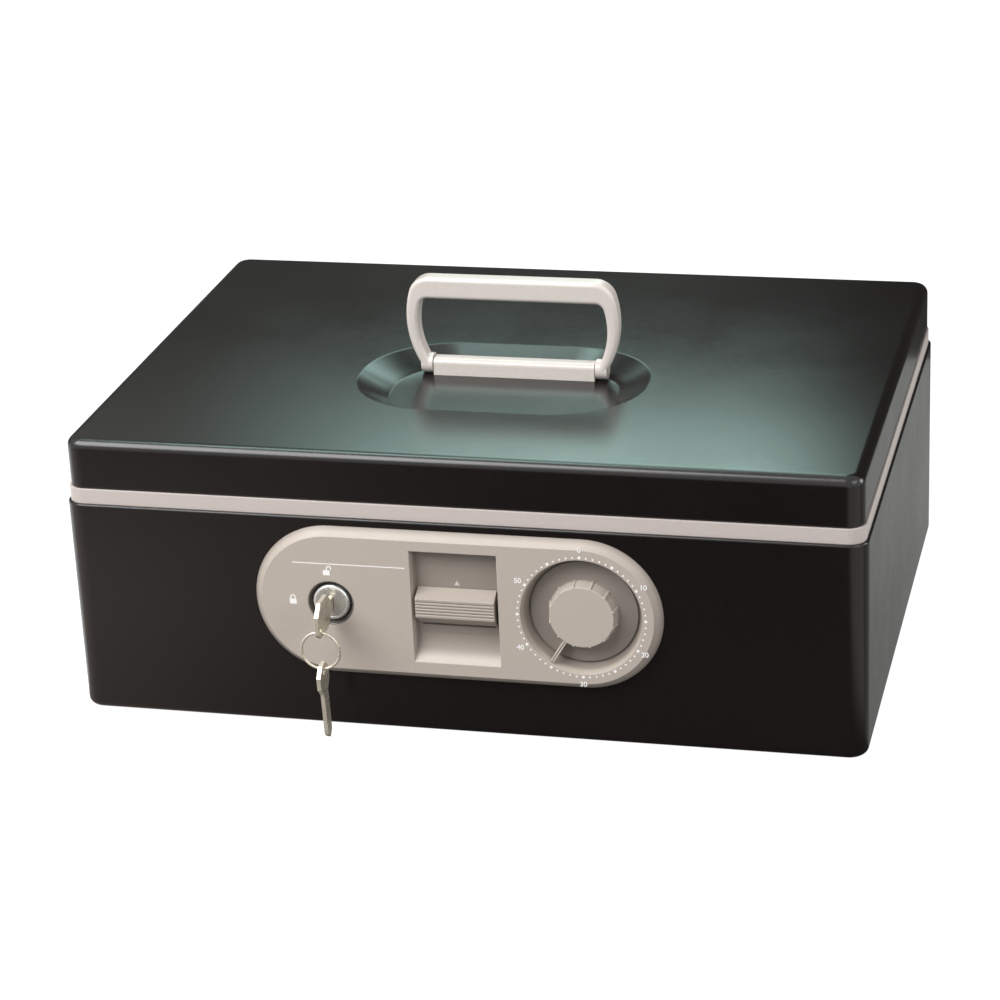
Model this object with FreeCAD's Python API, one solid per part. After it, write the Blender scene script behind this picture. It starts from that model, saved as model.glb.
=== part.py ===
import FreeCAD, Part
import math
import os

# A portable steel cash box: pressed body and lid, moulded trim frame and control panel,
# a key lock, a combination dial, a slide button with a spring catch, a folding carry handle
# and a sliding coin tray. Millimetres, +X right, -Y front, +Z up, origin at the middle of the base.

V = FreeCAD.Vector
X_AXIS = V(1, 0, 0)
Y_AXIS = V(0, 1, 0)
Z_AXIS = V(0, 0, 1)

# General fits
touch_gap = 0.1
small_gap = 0.3
running_gap = 0.06
cut_margin = 2.0

# Body
box_width = 370.0
box_depth = 268.0
steel = 1.0
body_height = 104.4
body_corner_radius = 9.0
body_bottom_radius = 3.5
rim_flange = 4.0
rim_edge_radius = 0.8
least_corner_radius = 2.0

# Trim frame between body and lid
band_height = 7.3
band_inset = 1.2
frame_inner_inset = 6.5
frame_skirt_depth = 3.8
ledge_width = 4.5
ledge_thickness = 2.0
upstand_height = 5.0
upstand_gap = 0.8

# Lid and its handle recess
lid_inset = 1.8
lid_height = 23.4
lid_corner_radius = 8.0
lid_edge_radius = 4.5
recess_width = 139.0
recess_depth = 90.0
recess_centre_y = -30.0
recess_sink = 8.0
recess_end_slope = 15.0
recess_side_slope = 11.0
recess_rim_flat = 6.0
recess_floor_flat = 8.0

# Carry handle
handle_y = -5.5
handle_pivot_rise = 5.1
bar_width = 79.0
bar_depth = 8.6
bar_height = 8.4
bar_edge_radius = 2.6
leg_gap = 0.4
leg_thickness = 5.6
handle_thickness = 9.6
handle_half_width = 51.8
handle_rise = 44.2
grip_thickness = 10.6
bulge_rise = 20.5
bulge_step = 1.0
shoulder_half_width = 47.2
shoulder_radius = 10.0
inner_shoulder_half_width = 43.8
inner_corner_radius = 4.0
handle_edge_radius = 2.0
handle_pin_radius = 2.0
handle_pin_depth = 6.0
handle_screw_radius = 2.0
handle_screw_spacing = 50.0
handle_screw_length = 6.0

# Control panel
panel_width = 189.6
panel_height = 73.0
panel_drop = 40.2
panel_thickness = 4.2
panel_bevel = 3.7
panel_screw_radius = 1.25
panel_screw_depth = 3.0
panel_screw_x = 33.0
panel_screw_z = 27.0
fastener_head = 1.6
moulded_wall = 2.0

# Slide button and its window
window_width = 40.4
window_below = 27.0
window_above = 27.9
window_depth = 6.2
window_side_slope = 1.4
scoop_below = 10.7
scoop_sag = 1.6
slot_groove_width = 34.0
slot_groove_height = 3.2
slot_groove_depth = 1.2
button_width = 36.6
button_front_below = 4.2
button_front_above = 4.8
button_back_below = 9.6
button_back_above = 8.3
button_proud = 0.8
button_travel = 10.0
rib_count = 5
rib_groove = 0.7
rib_depth = 0.4
stem_width = 16.0
stem_below = 7.2
stem_height = 4.0
stem_gap = 0.5

# Slide plate behind the panel
plate_gap = 2.8
plate_thickness = 1.5
plate_below = 28.2
shoulder_below = 8.2
plate_above = 15.8
plate_half_width = 31.0
plate_riser_half = 17.0
arm_height = 5.2
fence_width = 2.8
fence_gap = 1.0
finger_width = 6.0
finger_above = 11.8
finger_height = 3.0
finger_gap = 0.7
guide_x = 25.0
guide_below = 13.2
guide_radius = 2.0
guide_head_radius = 3.6
guide_head = 1.0
return_spring_x = 13.5
return_spring_radius = 2.6
return_spring_wire = 0.7
return_spring_turns = 6

# Combination dial
control_offset = 58.1
dish_rim_radius = 28.0
dish_foot_radius = 25.3
dish_depth = 8.0
dish_wall = 0.8
dial_edge_gap = 0.7
dial_edge = 0.8
dial_lift = 0.4
knob_front_radius = 14.6
knob_base_radius = 15.8
knob_rise = 5.6
ridge_count = 12
ridge_width = 0.9
ridge_rise = 0.5
ridge_root = 3.0
knob_sink = 0.2
pointer_angle = 212.0
pointer_width = 1.6
pointer_height = 5.4
pointer_end_gap = 0.4
pointer_root = 12.0
pointer_tip_depth = 1.4
pointer_groove_width = 0.5
pointer_groove_depth = 0.4
spindle_radius = 3.0
spindle_seat = 5.0
bush_wall = 3.0
bush_flange = 3.0
disc_gap = 0.4
disc_radius = 10.0
disc_thickness = 1.5
drive_pin_radius = 1.5
drive_pin_circle = 8.9
pin_tip_gap = 0.5
pin_clear_angle = 20.0
wheel_radius = 20.0
wheel_thickness = 2.0
wheel_step = 3.0
gate_width = 3.6
gate_depth = 10.0
clip_thickness = 1.0
clip_width = 3.0
wheel_2_high_turn = 180.0

# Key lock
bezel_radius = 10.9
bezel_lip = 0.5
lock_radius = 8.6
lock_rim_radius = 1.2
lock_gap = 0.2
plug_radius = 6.8
barrel_length = 22.0
lock_nut_across = 23.0
lock_nut_height = 3.5
plug_tail = 1.0
cam_length = 22.0
cam_half_width = 4.0
cam_thickness = 2.0
cam_screw_radius = 2.0
cam_screw_head_radius = 3.6
cam_screw_depth = 3.0
key_thickness = 1.9
key_blade_height = 7.4
key_blade_length = 19.0
keyway_gap = 0.25
keyway_depth = 20.2
bow_height = 16.0
bow_length = 20.0
bow_gap = 3.4
bow_chamfer = 5.0
neck_height = 6.0
key_bite = 1.5
key_bites = 4
key_hole_radius = 1.9
hole_wall = 1.5
ring_radius = 8.9
ring_wire = 0.65
ring_play = 0.2
spare_bow_width = 13.0
spare_bow_length = 14.5
spare_bow_chamfer = 4.2
spare_length = 38.5
spare_blade_width = 6.0
spare_tilt = 5.0

# Lock case and spring catch
case_side_gap = 1.1
case_below = 38.2
case_top_gap = 0.6
case_depth = 27.0
case_wall = 0.8
case_corner_radius = 3.0
flange_width = 12.0
flange_height = 48.0
stud_radius = 2.0
stud_length = 5.0
stud_spacing = 30.0
nut_across = 7.0
nut_height = 2.4
catch_half_width = 6.0
catch_thickness = 0.6
catch_foot_below = 24.2
catch_foot_height = 14.0
catch_neck_above = 5.8
catch_lean = 3.6
catch_lean_above = 25.3
catch_fold_above = 32.8
catch_barb_drop = 4.4
catch_barb_reach = 5.0
keeper_half_width = 10.0
keeper_thickness = 1.2
keeper_above = 25.2
keeper_shelf_rise = 9.4
keeper_flange = 7.6
keeper_eye_half = 7.5
keeper_eye_above = 27.3
keeper_eye_height = 6.0
slot_half_width = 13.0
slot_clearance = 3.0
catch_rivet_radius = 1.5
catch_rivet_head_radius = 2.6

# Rear hinges
hinge_inset = 75.0
hinge_length = 50.0
hinge_lid_knuckle = 17.6
hinge_gap = 0.2
knuckle_radius = 3.1
knuckle_clearance = 0.5
hinge_axis_drop = 3.7
hinge_pin_radius = 1.5
hinge_pin_overhang = 1.0
leaf_thickness = 1.2
body_leaf_height = 21.0
lid_leaf_height = 16.0
leaf_rise = 2.2
rivet_radius = 1.5
rivet_head_radius = 2.5
rivet_head = 1.0
rivet_spacing = 30.0

# Coin tray
tray_front_y = -100.0
tray_depth = 130.0
tray_flange_thickness = 2.0
tray_side_gap = 0.8
tray_wall = 1.5
tray_well_depth = 40.0
tray_well_side_gap = 2.0
tray_corner_radius = 6.0
coin_well_count = 6
coin_well_depth_y = 58.0
note_well_count = 2

# Planes and places worked out from the sizes above
front_y = -box_depth / 2
back_y = box_depth / 2
wall_inner_y = front_y + steel
panel_centre_z = body_height - panel_drop
dial_z = panel_centre_z
window_bottom = panel_centre_z - window_below
window_top = panel_centre_z + window_above
scoop_top = panel_centre_z - scoop_below
button_front_bottom = panel_centre_z - button_front_below
button_front_top = panel_centre_z + button_front_above
button_back_bottom = panel_centre_z - button_back_below
button_back_top = panel_centre_z + button_back_above
stem_bottom = panel_centre_z - stem_below
plate_bottom = panel_centre_z - plate_below
plate_shoulder = panel_centre_z - shoulder_below
plate_top = panel_centre_z + plate_above
finger_bottom = panel_centre_z + finger_above
guide_z = panel_centre_z - guide_below
case_bottom = panel_centre_z - case_below
catch_foot_bottom = panel_centre_z - catch_foot_below
catch_neck_z = panel_centre_z + catch_neck_above
catch_lean_top = panel_centre_z + catch_lean_above
catch_fold_z = panel_centre_z + catch_fold_above
keeper_bottom = panel_centre_z + keeper_above
keeper_eye_bottom = panel_centre_z + keeper_eye_above
panel_front_y = front_y - panel_thickness
frame_inner_y = front_y + frame_inner_inset
window_floor_y = panel_front_y + window_depth
window_back_y = window_floor_y + moulded_wall
dish_floor_y = panel_front_y + dish_depth
dish_back_y = dish_floor_y + moulded_wall
plate_front_y = window_back_y + plate_gap
plate_back_y = plate_front_y + plate_thickness
band_top = body_height + band_height
lid_bottom = band_top + small_gap
lid_top = lid_bottom + lid_height
lid_inner_front_y = front_y + lid_inset + steel
recess_floor_z = lid_top - recess_sink
recess_floor_depth = recess_depth - 2 * recess_side_slope
recess_rim_corner = (recess_depth - recess_rim_flat) / 2
recess_floor_corner = (recess_floor_depth - recess_floor_flat) / 2
handle_pivot_z = recess_floor_z + handle_pivot_rise
skirt_bottom = body_height - frame_skirt_depth
ledge_top = skirt_bottom + ledge_thickness
case_top = skirt_bottom - case_top_gap
case_half_width = control_offset + dish_rim_radius + dish_wall + case_side_gap
case_back_y = wall_inner_y + case_depth
case_inner_y = case_back_y - case_wall
lock_x = -control_offset
lock_z = dial_z
dial_x = control_offset
barrel_front_y = panel_front_y + lock_gap
barrel_back_y = barrel_front_y + barrel_length
plug_back_y = barrel_back_y + plug_tail
cam_back_y = plug_back_y + cam_thickness
disc_front_y = dish_back_y + moulded_wall + 2 * disc_gap + disc_thickness
disc_back_y = disc_front_y + disc_thickness
wheel_2_front_y = disc_back_y + wheel_step + pin_tip_gap
wheel_2_back_y = wheel_2_front_y + wheel_thickness
wheel_1_front_y = wheel_2_back_y + wheel_step
wheel_1_back_y = wheel_1_front_y + wheel_thickness
spindle_back_y = wheel_1_back_y + pin_tip_gap + clip_thickness
wheel_bottom = dial_z - wheel_radius
fence_top = wheel_bottom - fence_gap
fence_back_y = wheel_1_back_y + pin_tip_gap
lug_top = lock_z - cam_length - fence_gap
keeper_y = frame_inner_y + slot_clearance + keeper_thickness
catch_tip_y = keeper_y - 2 * keeper_thickness
catch_stem_y = catch_tip_y + catch_barb_reach + catch_lean
hinge_x = box_width / 2 - hinge_inset
hinge_axis_y = back_y + knuckle_radius + knuckle_clearance
hinge_axis_z = band_top - hinge_axis_drop
bow_back_y = panel_front_y - bow_gap
bow_front_y = bow_back_y - bow_length
ring_y = bow_front_y + hole_wall + key_hole_radius
ring_top_z = lock_z - bow_height / 2 + hole_wall + ring_wire + ring_play
ring_bottom_z = ring_top_z - 2 * ring_radius


# Solid helpers


def block(x0, x1, y0, y1, z0, z1):
    """A box between two corners."""
    return Part.makeBox(x1 - x0, y1 - y0, z1 - z0, V(x0, y0, z0))


def rod_y(x, z, radius, y0, y1):
    """A cylinder along Y."""
    return Part.makeCylinder(radius, y1 - y0, V(x, y0, z), Y_AXIS)


def rod_x(y, z, radius, x0, x1):
    """A cylinder along X."""
    return Part.makeCylinder(radius, x1 - x0, V(x0, y, z), X_AXIS)


def rod_z(x, y, radius, z0, z1):
    """A cylinder along Z."""
    return Part.makeCylinder(radius, z1 - z0, V(x, y, z0), Z_AXIS)


def tube_y(x, z, outer, inner, y0, y1):
    """A round tube along Y."""
    return rod_y(x, z, outer, y0, y1).cut(rod_y(x, z, inner, y0 - cut_margin, y1 + cut_margin))


def hex_y(x, z, across, y0, y1):
    """A hexagonal prism along Y, given its size across flats."""
    corner = across / math.sqrt(3)
    points = []
    for side in range(6):
        angle = math.radians(60 * side)
        points.append(V(x + corner * math.cos(angle), y0, z + corner * math.sin(angle)))
    wire = Part.makePolygon(points + points[:1])
    return Part.Face(wire).extrude(V(0, y1 - y0, 0))


def prism_x(outline, x0, x1):
    """A Y-Z outline pushed along X."""
    points = [V(x0, y, z) for y, z in outline]
    wire = Part.makePolygon(points + points[:1])
    return Part.Face(wire).extrude(V(x1 - x0, 0, 0))


def prism_y(outline, y0, y1):
    """An X-Z outline pushed along Y."""
    points = [V(x, y0, z) for x, z in outline]
    wire = Part.makePolygon(points + points[:1])
    return Part.Face(wire).extrude(V(0, y1 - y0, 0))


def turned_y(outline, x, z):
    """A radius-Y outline turned about an axis along Y."""
    points = [V(x + radius, y, z) for radius, y in outline]
    wire = Part.makePolygon(points + points[:1])
    return Part.Face(wire).revolve(V(x, 0, z), Y_AXIS, 360)


def edges_at_z(shape, z):
    """The edges that lie in one level plane."""
    found = []
    for edge in shape.Edges:
        box = edge.BoundBox
        if abs(box.ZMin - z) < 1e-4 and abs(box.ZMax - z) < 1e-4:
            found.append(edge)
    return found


def upright_edges(shape):
    """The straight edges that run along Z."""
    found = []
    for edge in shape.Edges:
        box = edge.BoundBox
        if box.XLength < 1e-4 and box.YLength < 1e-4:
            found.append(edge)
    return found


def edges_along_x(shape):
    """The straight edges that run along X."""
    found = []
    for edge in shape.Edges:
        box = edge.BoundBox
        if box.YLength < 1e-4 and box.ZLength < 1e-4:
            found.append(edge)
    return found


def inset_block(inset, z0, z1, corner):
    """A block with rounded uprights, set in from the body's outside by the same amount all round."""
    half_x = box_width / 2 - inset
    half_y = box_depth / 2 - inset
    raw = block(-half_x, half_x, -half_y, half_y, z0, z1)
    return raw.makeFillet(max(corner, least_corner_radius), upright_edges(raw))


def inset_ring(outer_inset, inner_inset, z0, z1):
    """A level ring that follows the body's outline."""
    outer = inset_block(outer_inset, z0, z1, body_corner_radius - outer_inset)
    inner = inset_block(inner_inset, z0 - cut_margin, z1 + cut_margin, body_corner_radius - inner_inset)
    return outer.cut(inner)


def stadium_xz(width, height, centre_z, y):
    """A stadium outline in an X-Z plane, long side level."""
    radius = height / 2
    half = width / 2 - radius
    top = centre_z + radius
    bottom = centre_z - radius
    edges = [
        Part.LineSegment(V(-half, y, top), V(half, y, top)).toShape(),
        Part.Arc(V(half, y, top), V(half + radius, y, centre_z), V(half, y, bottom)).toShape(),
        Part.LineSegment(V(half, y, bottom), V(-half, y, bottom)).toShape(),
        Part.Arc(V(-half, y, bottom), V(-half - radius, y, centre_z), V(-half, y, top)).toShape(),
    ]
    return Part.Wire(edges)


def rounded_outline(width, depth, corner, centre_y, z):
    """A level rectangle with rounded corners."""
    right = width / 2
    back = depth / 2
    bend = corner * (1 - math.sqrt(0.5))
    edges = []
    for quarter in range(4):
        along = (right, back) if quarter % 2 == 0 else (back, right)
        turn = FreeCAD.Rotation(Z_AXIS, 90 * quarter)
        centre = V(0, centre_y, z)
        start = centre + turn.multVec(V(along[0], along[1] - corner, 0))
        middle = centre + turn.multVec(V(along[0] - bend, along[1] - bend, 0))
        end = centre + turn.multVec(V(along[0] - corner, along[1], 0))
        after = centre + turn.multVec(V(corner - along[0], along[1], 0))
        edges.append(Part.Arc(start, middle, end).toShape())
        edges.append(Part.LineSegment(end, after).toShape())
    return Part.Wire(edges)


def bent_strip(centre_line, thickness, x0, x1):
    """A flat strip bent along a Y-Z line, with mitred bends."""
    near = []
    far = []
    last = len(centre_line) - 1
    for index, (y, z) in enumerate(centre_line):
        before = centre_line[max(index - 1, 0)]
        after = centre_line[min(index + 1, last)]
        incoming = math.atan2(z - before[1], y - before[0]) if index > 0 else None
        outgoing = math.atan2(after[1] - z, after[0] - y) if index < last else None
        first = outgoing if incoming is None else incoming
        second = incoming if outgoing is None else outgoing
        turn = (second - first + math.pi) % (2 * math.pi) - math.pi
        normal = first + turn / 2 + math.pi / 2
        reach = thickness / 2 / math.cos(turn / 2)
        near.append((y + reach * math.cos(normal), z + reach * math.sin(normal)))
        far.append((y - reach * math.cos(normal), z - reach * math.sin(normal)))
    return prism_x(near + far[::-1], x0, x1)


def around_y(x, z, radius, angle):
    """The X and Z of a point at a clockwise angle from the top, seen from the front."""
    turn = math.radians(angle)
    return x + radius * math.sin(turn), z + radius * math.cos(turn)


def group(solids):
    """Separate solids kept together in one node."""
    return Part.makeCompound(solids)


# Body pieces


def panel_screw_places():
    """Where the four panel screws stand."""
    places = []
    for x in (-panel_screw_x, panel_screw_x):
        for z in (panel_centre_z - panel_screw_z, panel_centre_z + panel_screw_z):
            places.append((x, z))
    return places


def hinge_rivet_places():
    """The X of every rivet on the two hinges."""
    places = []
    for centre in (-hinge_x, hinge_x):
        for side in (-rivet_spacing / 2, rivet_spacing / 2):
            places.append(centre + side)
    return places


def body_rivet_z():
    """The height of the rivets in the body leaves."""
    return body_height - rim_flange - body_leaf_height / 2


def lid_rivet_z():
    """The height of the rivets in the lid leaves."""
    return lid_bottom + leaf_rise + lid_leaf_height / 2 + rivet_radius


def body_shell():
    """The pressed steel body, open at the top, with an inward rim and its cut-outs."""
    outer = inset_block(0, 0, body_height, body_corner_radius)
    outer = outer.makeFillet(body_bottom_radius, edges_at_z(outer, 0))
    outer = outer.makeFillet(rim_edge_radius, edges_at_z(outer, body_height))
    hollow = inset_block(steel, steel, body_height - steel, body_corner_radius - steel)
    hollow = hollow.makeFillet(body_bottom_radius - steel, edges_at_z(hollow, steel))
    mouth_corner = body_corner_radius - rim_flange
    mouth = inset_block(rim_flange, body_height - 2 * steel, body_height + cut_margin, mouth_corner)
    shell = outer.cut(hollow).cut(mouth)
    near = front_y - cut_margin
    far = wall_inner_y + cut_margin
    dish_hole = rod_y(dial_x, dial_z, dish_rim_radius + dish_wall + small_gap, near, far)
    lock_hole = rod_y(lock_x, lock_z, lock_radius + touch_gap, near, far)
    half = window_width / 2 + moulded_wall + small_gap
    window_hole = block(-half, half, near, far, window_bottom - small_gap,
                        window_top + moulded_wall + small_gap)
    holes = [dish_hole, lock_hole, window_hole]
    for x, z in panel_screw_places():
        holes.append(rod_y(x, z, panel_screw_radius, near, far))
    for x in hinge_rivet_places():
        holes.append(rod_y(x, body_rivet_z(), rivet_radius, back_y - steel - cut_margin, back_y + cut_margin))
    return shell.cut(holes)


def trim_frame():
    """The moulded frame on the rim: outer band, upstand inside the lid, skirt and tray ledges."""
    band = inset_ring(band_inset, frame_inner_inset, body_height, band_top)
    upstand_inset = lid_inset + steel + upstand_gap
    upstand = inset_ring(upstand_inset, frame_inner_inset, band_top, band_top + upstand_height)
    skirt_inset = rim_flange + small_gap
    skirt = inset_ring(skirt_inset, frame_inner_inset, skirt_bottom, body_height)
    ledge = inset_ring(skirt_inset, frame_inner_inset + ledge_width, skirt_bottom, ledge_top)
    half = box_width / 2 - frame_inner_inset - ledge_width
    front_gap = block(-half, half, frame_inner_y, frame_inner_y + 2 * ledge_width,
                      skirt_bottom - cut_margin, ledge_top + cut_margin)
    return band.fuse([upstand, skirt, ledge.cut(front_gap)]).removeSplitter()


def window_pocket():
    """The hollow round the slide button: a flat floor, sloping sides and a finger scoop below."""
    mouth_y = panel_front_y - touch_gap
    top_edge = Part.LineSegment(V(0, mouth_y, window_top), V(0, window_floor_y, window_top)).toShape()
    floor_edge = Part.LineSegment(V(0, window_floor_y, window_top), V(0, window_floor_y, scoop_top)).toShape()
    middle_y = (window_floor_y + panel_front_y) / 2 + scoop_sag
    middle = V(0, middle_y, (scoop_top + window_bottom) / 2 - scoop_sag)
    scoop = Part.Arc(V(0, window_floor_y, scoop_top), middle, V(0, panel_front_y, window_bottom)).toShape()
    lip = Part.LineSegment(V(0, panel_front_y, window_bottom), V(0, mouth_y, window_bottom)).toShape()
    mouth = Part.LineSegment(V(0, mouth_y, window_bottom), V(0, mouth_y, window_top)).toShape()
    side_view = Part.Face(Part.Wire([top_edge, floor_edge, scoop, lip, mouth]))
    side_view.translate(V(-window_width, 0, 0))
    long_pocket = side_view.extrude(V(2 * window_width, 0, 0))
    front_half = window_width / 2
    floor_half = front_half - window_side_slope
    plan = [V(-front_half, mouth_y, 0), V(front_half, mouth_y, 0),
            V(floor_half, window_floor_y, 0), V(-floor_half, window_floor_y, 0)]
    taper = Part.Face(Part.makePolygon(plan + plan[:1])).extrude(V(0, 0, body_height))
    return long_pocket.common(taper)


def control_panel():
    """The moulded front panel with a bevelled edge, a dial dish, a button window and a lock hole."""
    back = stadium_xz(panel_width, panel_height, panel_centre_z, front_y)
    front = stadium_xz(panel_width - 2 * panel_bevel, panel_height - 2 * panel_bevel,
                       panel_centre_z, panel_front_y)
    plate = Part.makeLoft([back, front], True, True)
    boss = rod_y(dial_x, dial_z, dish_rim_radius + dish_wall, front_y, dish_back_y)
    half = window_width / 2 + moulded_wall
    window_box = block(-half, half, front_y, window_back_y, window_bottom, window_top + moulded_wall)
    dish = Part.makeCone(dish_rim_radius, dish_foot_radius, dish_depth,
                         V(dial_x, panel_front_y, dial_z), Y_AXIS)
    stem_half = stem_width / 2 + stem_gap
    stem_slot = block(-stem_half, stem_half, window_floor_y - touch_gap, window_back_y + cut_margin,
                      stem_bottom - stem_gap, stem_bottom + stem_height + button_travel + stem_gap)
    lock_hole = rod_y(lock_x, lock_z, bezel_radius, panel_front_y - cut_margin, front_y + cut_margin)
    bush_hole = rod_y(dial_x, dial_z, spindle_radius + bush_wall, dish_floor_y - touch_gap,
                      dish_back_y + cut_margin)
    groove_half = slot_groove_width / 2
    slot_groove = block(-groove_half, groove_half, window_floor_y - touch_gap,
                        window_floor_y + slot_groove_depth, scoop_top, scoop_top + slot_groove_height)
    holes = [dish, window_pocket(), stem_slot, slot_groove, lock_hole, bush_hole]
    for x, z in panel_screw_places():
        holes.append(rod_y(x, z, panel_screw_radius, front_y - panel_screw_depth, front_y + cut_margin))
    return plate.fuse([boss, window_box]).cut(holes).removeSplitter()


def panel_screws():
    """Four screws that hold the panel from inside the front wall."""
    screws = []
    for x, z in panel_screw_places():
        shank = rod_y(x, z, panel_screw_radius, front_y - panel_screw_depth, wall_inner_y)
        head = rod_y(x, z, 2 * panel_screw_radius, wall_inner_y, wall_inner_y + fastener_head)
        screws.append(shank.fuse(head))
    return group(screws)


# Lock case pieces


def stud_places():
    """Where the studs stand that hold the lock case."""
    places = []
    middle = (case_bottom + case_top) / 2
    for x in (-case_half_width - flange_width / 2, case_half_width + flange_width / 2):
        for z in (middle - stud_spacing / 2, middle + stud_spacing / 2):
            places.append((x, z))
    return places


def catch_rivet_places():
    """Where the two rivets hold the spring catch to the case."""
    middle = catch_foot_bottom + catch_foot_height / 2
    return [(0, middle - catch_foot_height / 4), (0, middle + catch_foot_height / 4)]


def lock_case():
    """The pressed cover over the lock parts, with side flanges and a slot for the lid's keeper."""
    raw = block(-case_half_width, case_half_width, wall_inner_y, case_back_y, case_bottom, case_top)
    rear = [edge for edge in raw.Edges if abs(edge.BoundBox.YMin - case_back_y) < 1e-4]
    outer = raw.makeFillet(case_corner_radius, rear)
    half = case_half_width - case_wall
    room = block(-half, half, wall_inner_y - cut_margin, case_inner_y,
                 case_bottom + case_wall, case_top - case_wall)
    rear = [edge for edge in room.Edges if abs(edge.BoundBox.YMin - case_inner_y) < 1e-4]
    room = room.makeFillet(case_corner_radius - case_wall, rear)
    middle = (case_bottom + case_top) / 2
    flanges = []
    for x0 in (-case_half_width - flange_width, case_half_width - case_wall):
        flanges.append(block(x0, x0 + flange_width + case_wall, wall_inner_y, wall_inner_y + case_wall,
                             middle - flange_height / 2, middle + flange_height / 2))
    slot = block(-slot_half_width, slot_half_width, frame_inner_y + touch_gap, catch_stem_y + slot_clearance,
                 case_top - 2 * case_wall, case_top + cut_margin)
    holes = [room, slot]
    for x, z in stud_places():
        holes.append(rod_y(x, z, stud_radius, wall_inner_y - cut_margin, wall_inner_y + cut_margin))
    for x, z in catch_rivet_places():
        holes.append(rod_y(x, z, catch_rivet_radius, case_inner_y - cut_margin, case_back_y + cut_margin))
    return outer.fuse(flanges).cut(holes).removeSplitter()


def case_studs():
    """Studs welded inside the front wall for the lock case."""
    studs = []
    for x, z in stud_places():
        studs.append(rod_y(x, z, stud_radius, wall_inner_y, wall_inner_y + stud_length))
    return group(studs)


def case_nuts():
    """Nuts that clamp the lock case on its studs."""
    seat = wall_inner_y + case_wall
    nuts = []
    for x, z in stud_places():
        bore = rod_y(x, z, stud_radius, seat - cut_margin, seat + nut_height + cut_margin)
        nuts.append(hex_y(x, z, nut_across, seat, seat + nut_height).cut(bore))
    return group(nuts)


def catch_spring():
    """The spring-steel catch that holds the lid's keeper and is pushed back by the slide plate."""
    foot_y = case_inner_y - catch_thickness / 2
    lean_y = catch_stem_y - catch_lean
    line = [
        (foot_y, catch_foot_bottom),
        (foot_y, catch_foot_bottom + catch_foot_height),
        (catch_stem_y, catch_neck_z),
        (catch_stem_y, plate_top + catch_thickness),
        (lean_y, catch_lean_top),
        (lean_y, catch_fold_z),
        (lean_y - catch_barb_reach, catch_fold_z - catch_barb_drop),
    ]
    strip = bent_strip(line, catch_thickness, -catch_half_width, catch_half_width)
    holes = []
    for x, z in catch_rivet_places():
        holes.append(rod_y(x, z, catch_rivet_radius, foot_y - cut_margin, foot_y + cut_margin))
    return strip.cut(holes)


def catch_rivets():
    """Rivets of the spring catch."""
    front = case_inner_y - catch_thickness
    rivets = []
    for x, z in catch_rivet_places():
        shank = rod_y(x, z, catch_rivet_radius, front, case_back_y)
        inside = rod_y(x, z, catch_rivet_head_radius, front - rivet_head, front)
        outside = rod_y(x, z, catch_rivet_head_radius, case_back_y, case_back_y + rivet_head)
        rivets.append(shank.fuse([inside, outside]))
    return group(rivets)


# Slide button pieces


def slide_button():
    """The ribbed finger button with a stem through the window's floor."""
    back_y_of_button = window_floor_y - small_gap
    front_y_of_button = panel_front_y - button_proud
    half = button_width / 2
    outline = [(front_y_of_button, button_front_bottom), (front_y_of_button, button_front_top),
               (back_y_of_button, button_back_top), (back_y_of_button, button_back_bottom)]
    button = prism_x(outline, -half, half)
    stem = block(-stem_width / 2, stem_width / 2, back_y_of_button, plate_front_y,
                 stem_bottom, stem_bottom + stem_height)
    pitch = (button_front_top - button_front_bottom) / (rib_count + 1)
    grooves = []
    for rib in range(rib_count):
        z = button_front_bottom + pitch * (rib + 1)
        grooves.append(block(-half - touch_gap, half + touch_gap, front_y_of_button - cut_margin,
                             front_y_of_button + rib_depth, z - rib_groove / 2, z + rib_groove / 2))
    screw_hole = rod_y(0, stem_bottom + stem_height / 2, panel_screw_radius,
                       plate_front_y - panel_screw_depth, plate_front_y + cut_margin)
    return button.fuse(stem).cut(grooves + [screw_hole]).removeSplitter()


def slide_plate():
    """The plate moved by the button, with guide slots, a catch finger, a wheel fence and a key lug."""
    arm_top = plate_bottom + arm_height
    right = dial_x + fence_width / 2
    left = lock_x - cam_half_width / 2
    outline = [
        (left, plate_bottom), (right, plate_bottom), (right, arm_top), (plate_half_width, arm_top),
        (plate_half_width, plate_shoulder), (plate_riser_half, plate_shoulder), (plate_riser_half, plate_top),
        (-plate_riser_half, plate_top), (-plate_riser_half, plate_shoulder),
        (-plate_half_width, plate_shoulder), (-plate_half_width, arm_top), (left, arm_top),
    ]
    plate = prism_y(outline, plate_front_y, plate_back_y)
    fence = block(dial_x - fence_width / 2, right, plate_front_y, fence_back_y, plate_bottom, fence_top)
    lug = block(left, lock_x + cam_half_width / 2, plate_front_y, cam_back_y, plate_bottom, lug_top)
    finger = block(-finger_width / 2, finger_width / 2, plate_front_y, catch_stem_y - finger_gap,
                   finger_bottom, finger_bottom + finger_height)
    near = plate_front_y - cut_margin
    far = plate_back_y + cut_margin
    holes = [rod_y(0, stem_bottom + stem_height / 2, panel_screw_radius, near, far)]
    width = guide_radius + touch_gap
    for x in (-guide_x, guide_x):
        holes.append(rod_y(x, guide_z, width, near, far))
        holes.append(rod_y(x, guide_z - button_travel, width, near, far))
        holes.append(block(x - width, x + width, near, far, guide_z - button_travel, guide_z))
    return plate.fuse([fence, lug, finger]).cut(holes).removeSplitter()


def slide_plate_screw():
    """The screw that ties the slide plate to the button's stem."""
    z = stem_bottom + stem_height / 2
    shank = rod_y(0, z, panel_screw_radius, plate_front_y - panel_screw_depth, plate_back_y)
    return shank.fuse(rod_y(0, z, 2 * panel_screw_radius, plate_back_y, plate_back_y + fastener_head))


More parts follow.
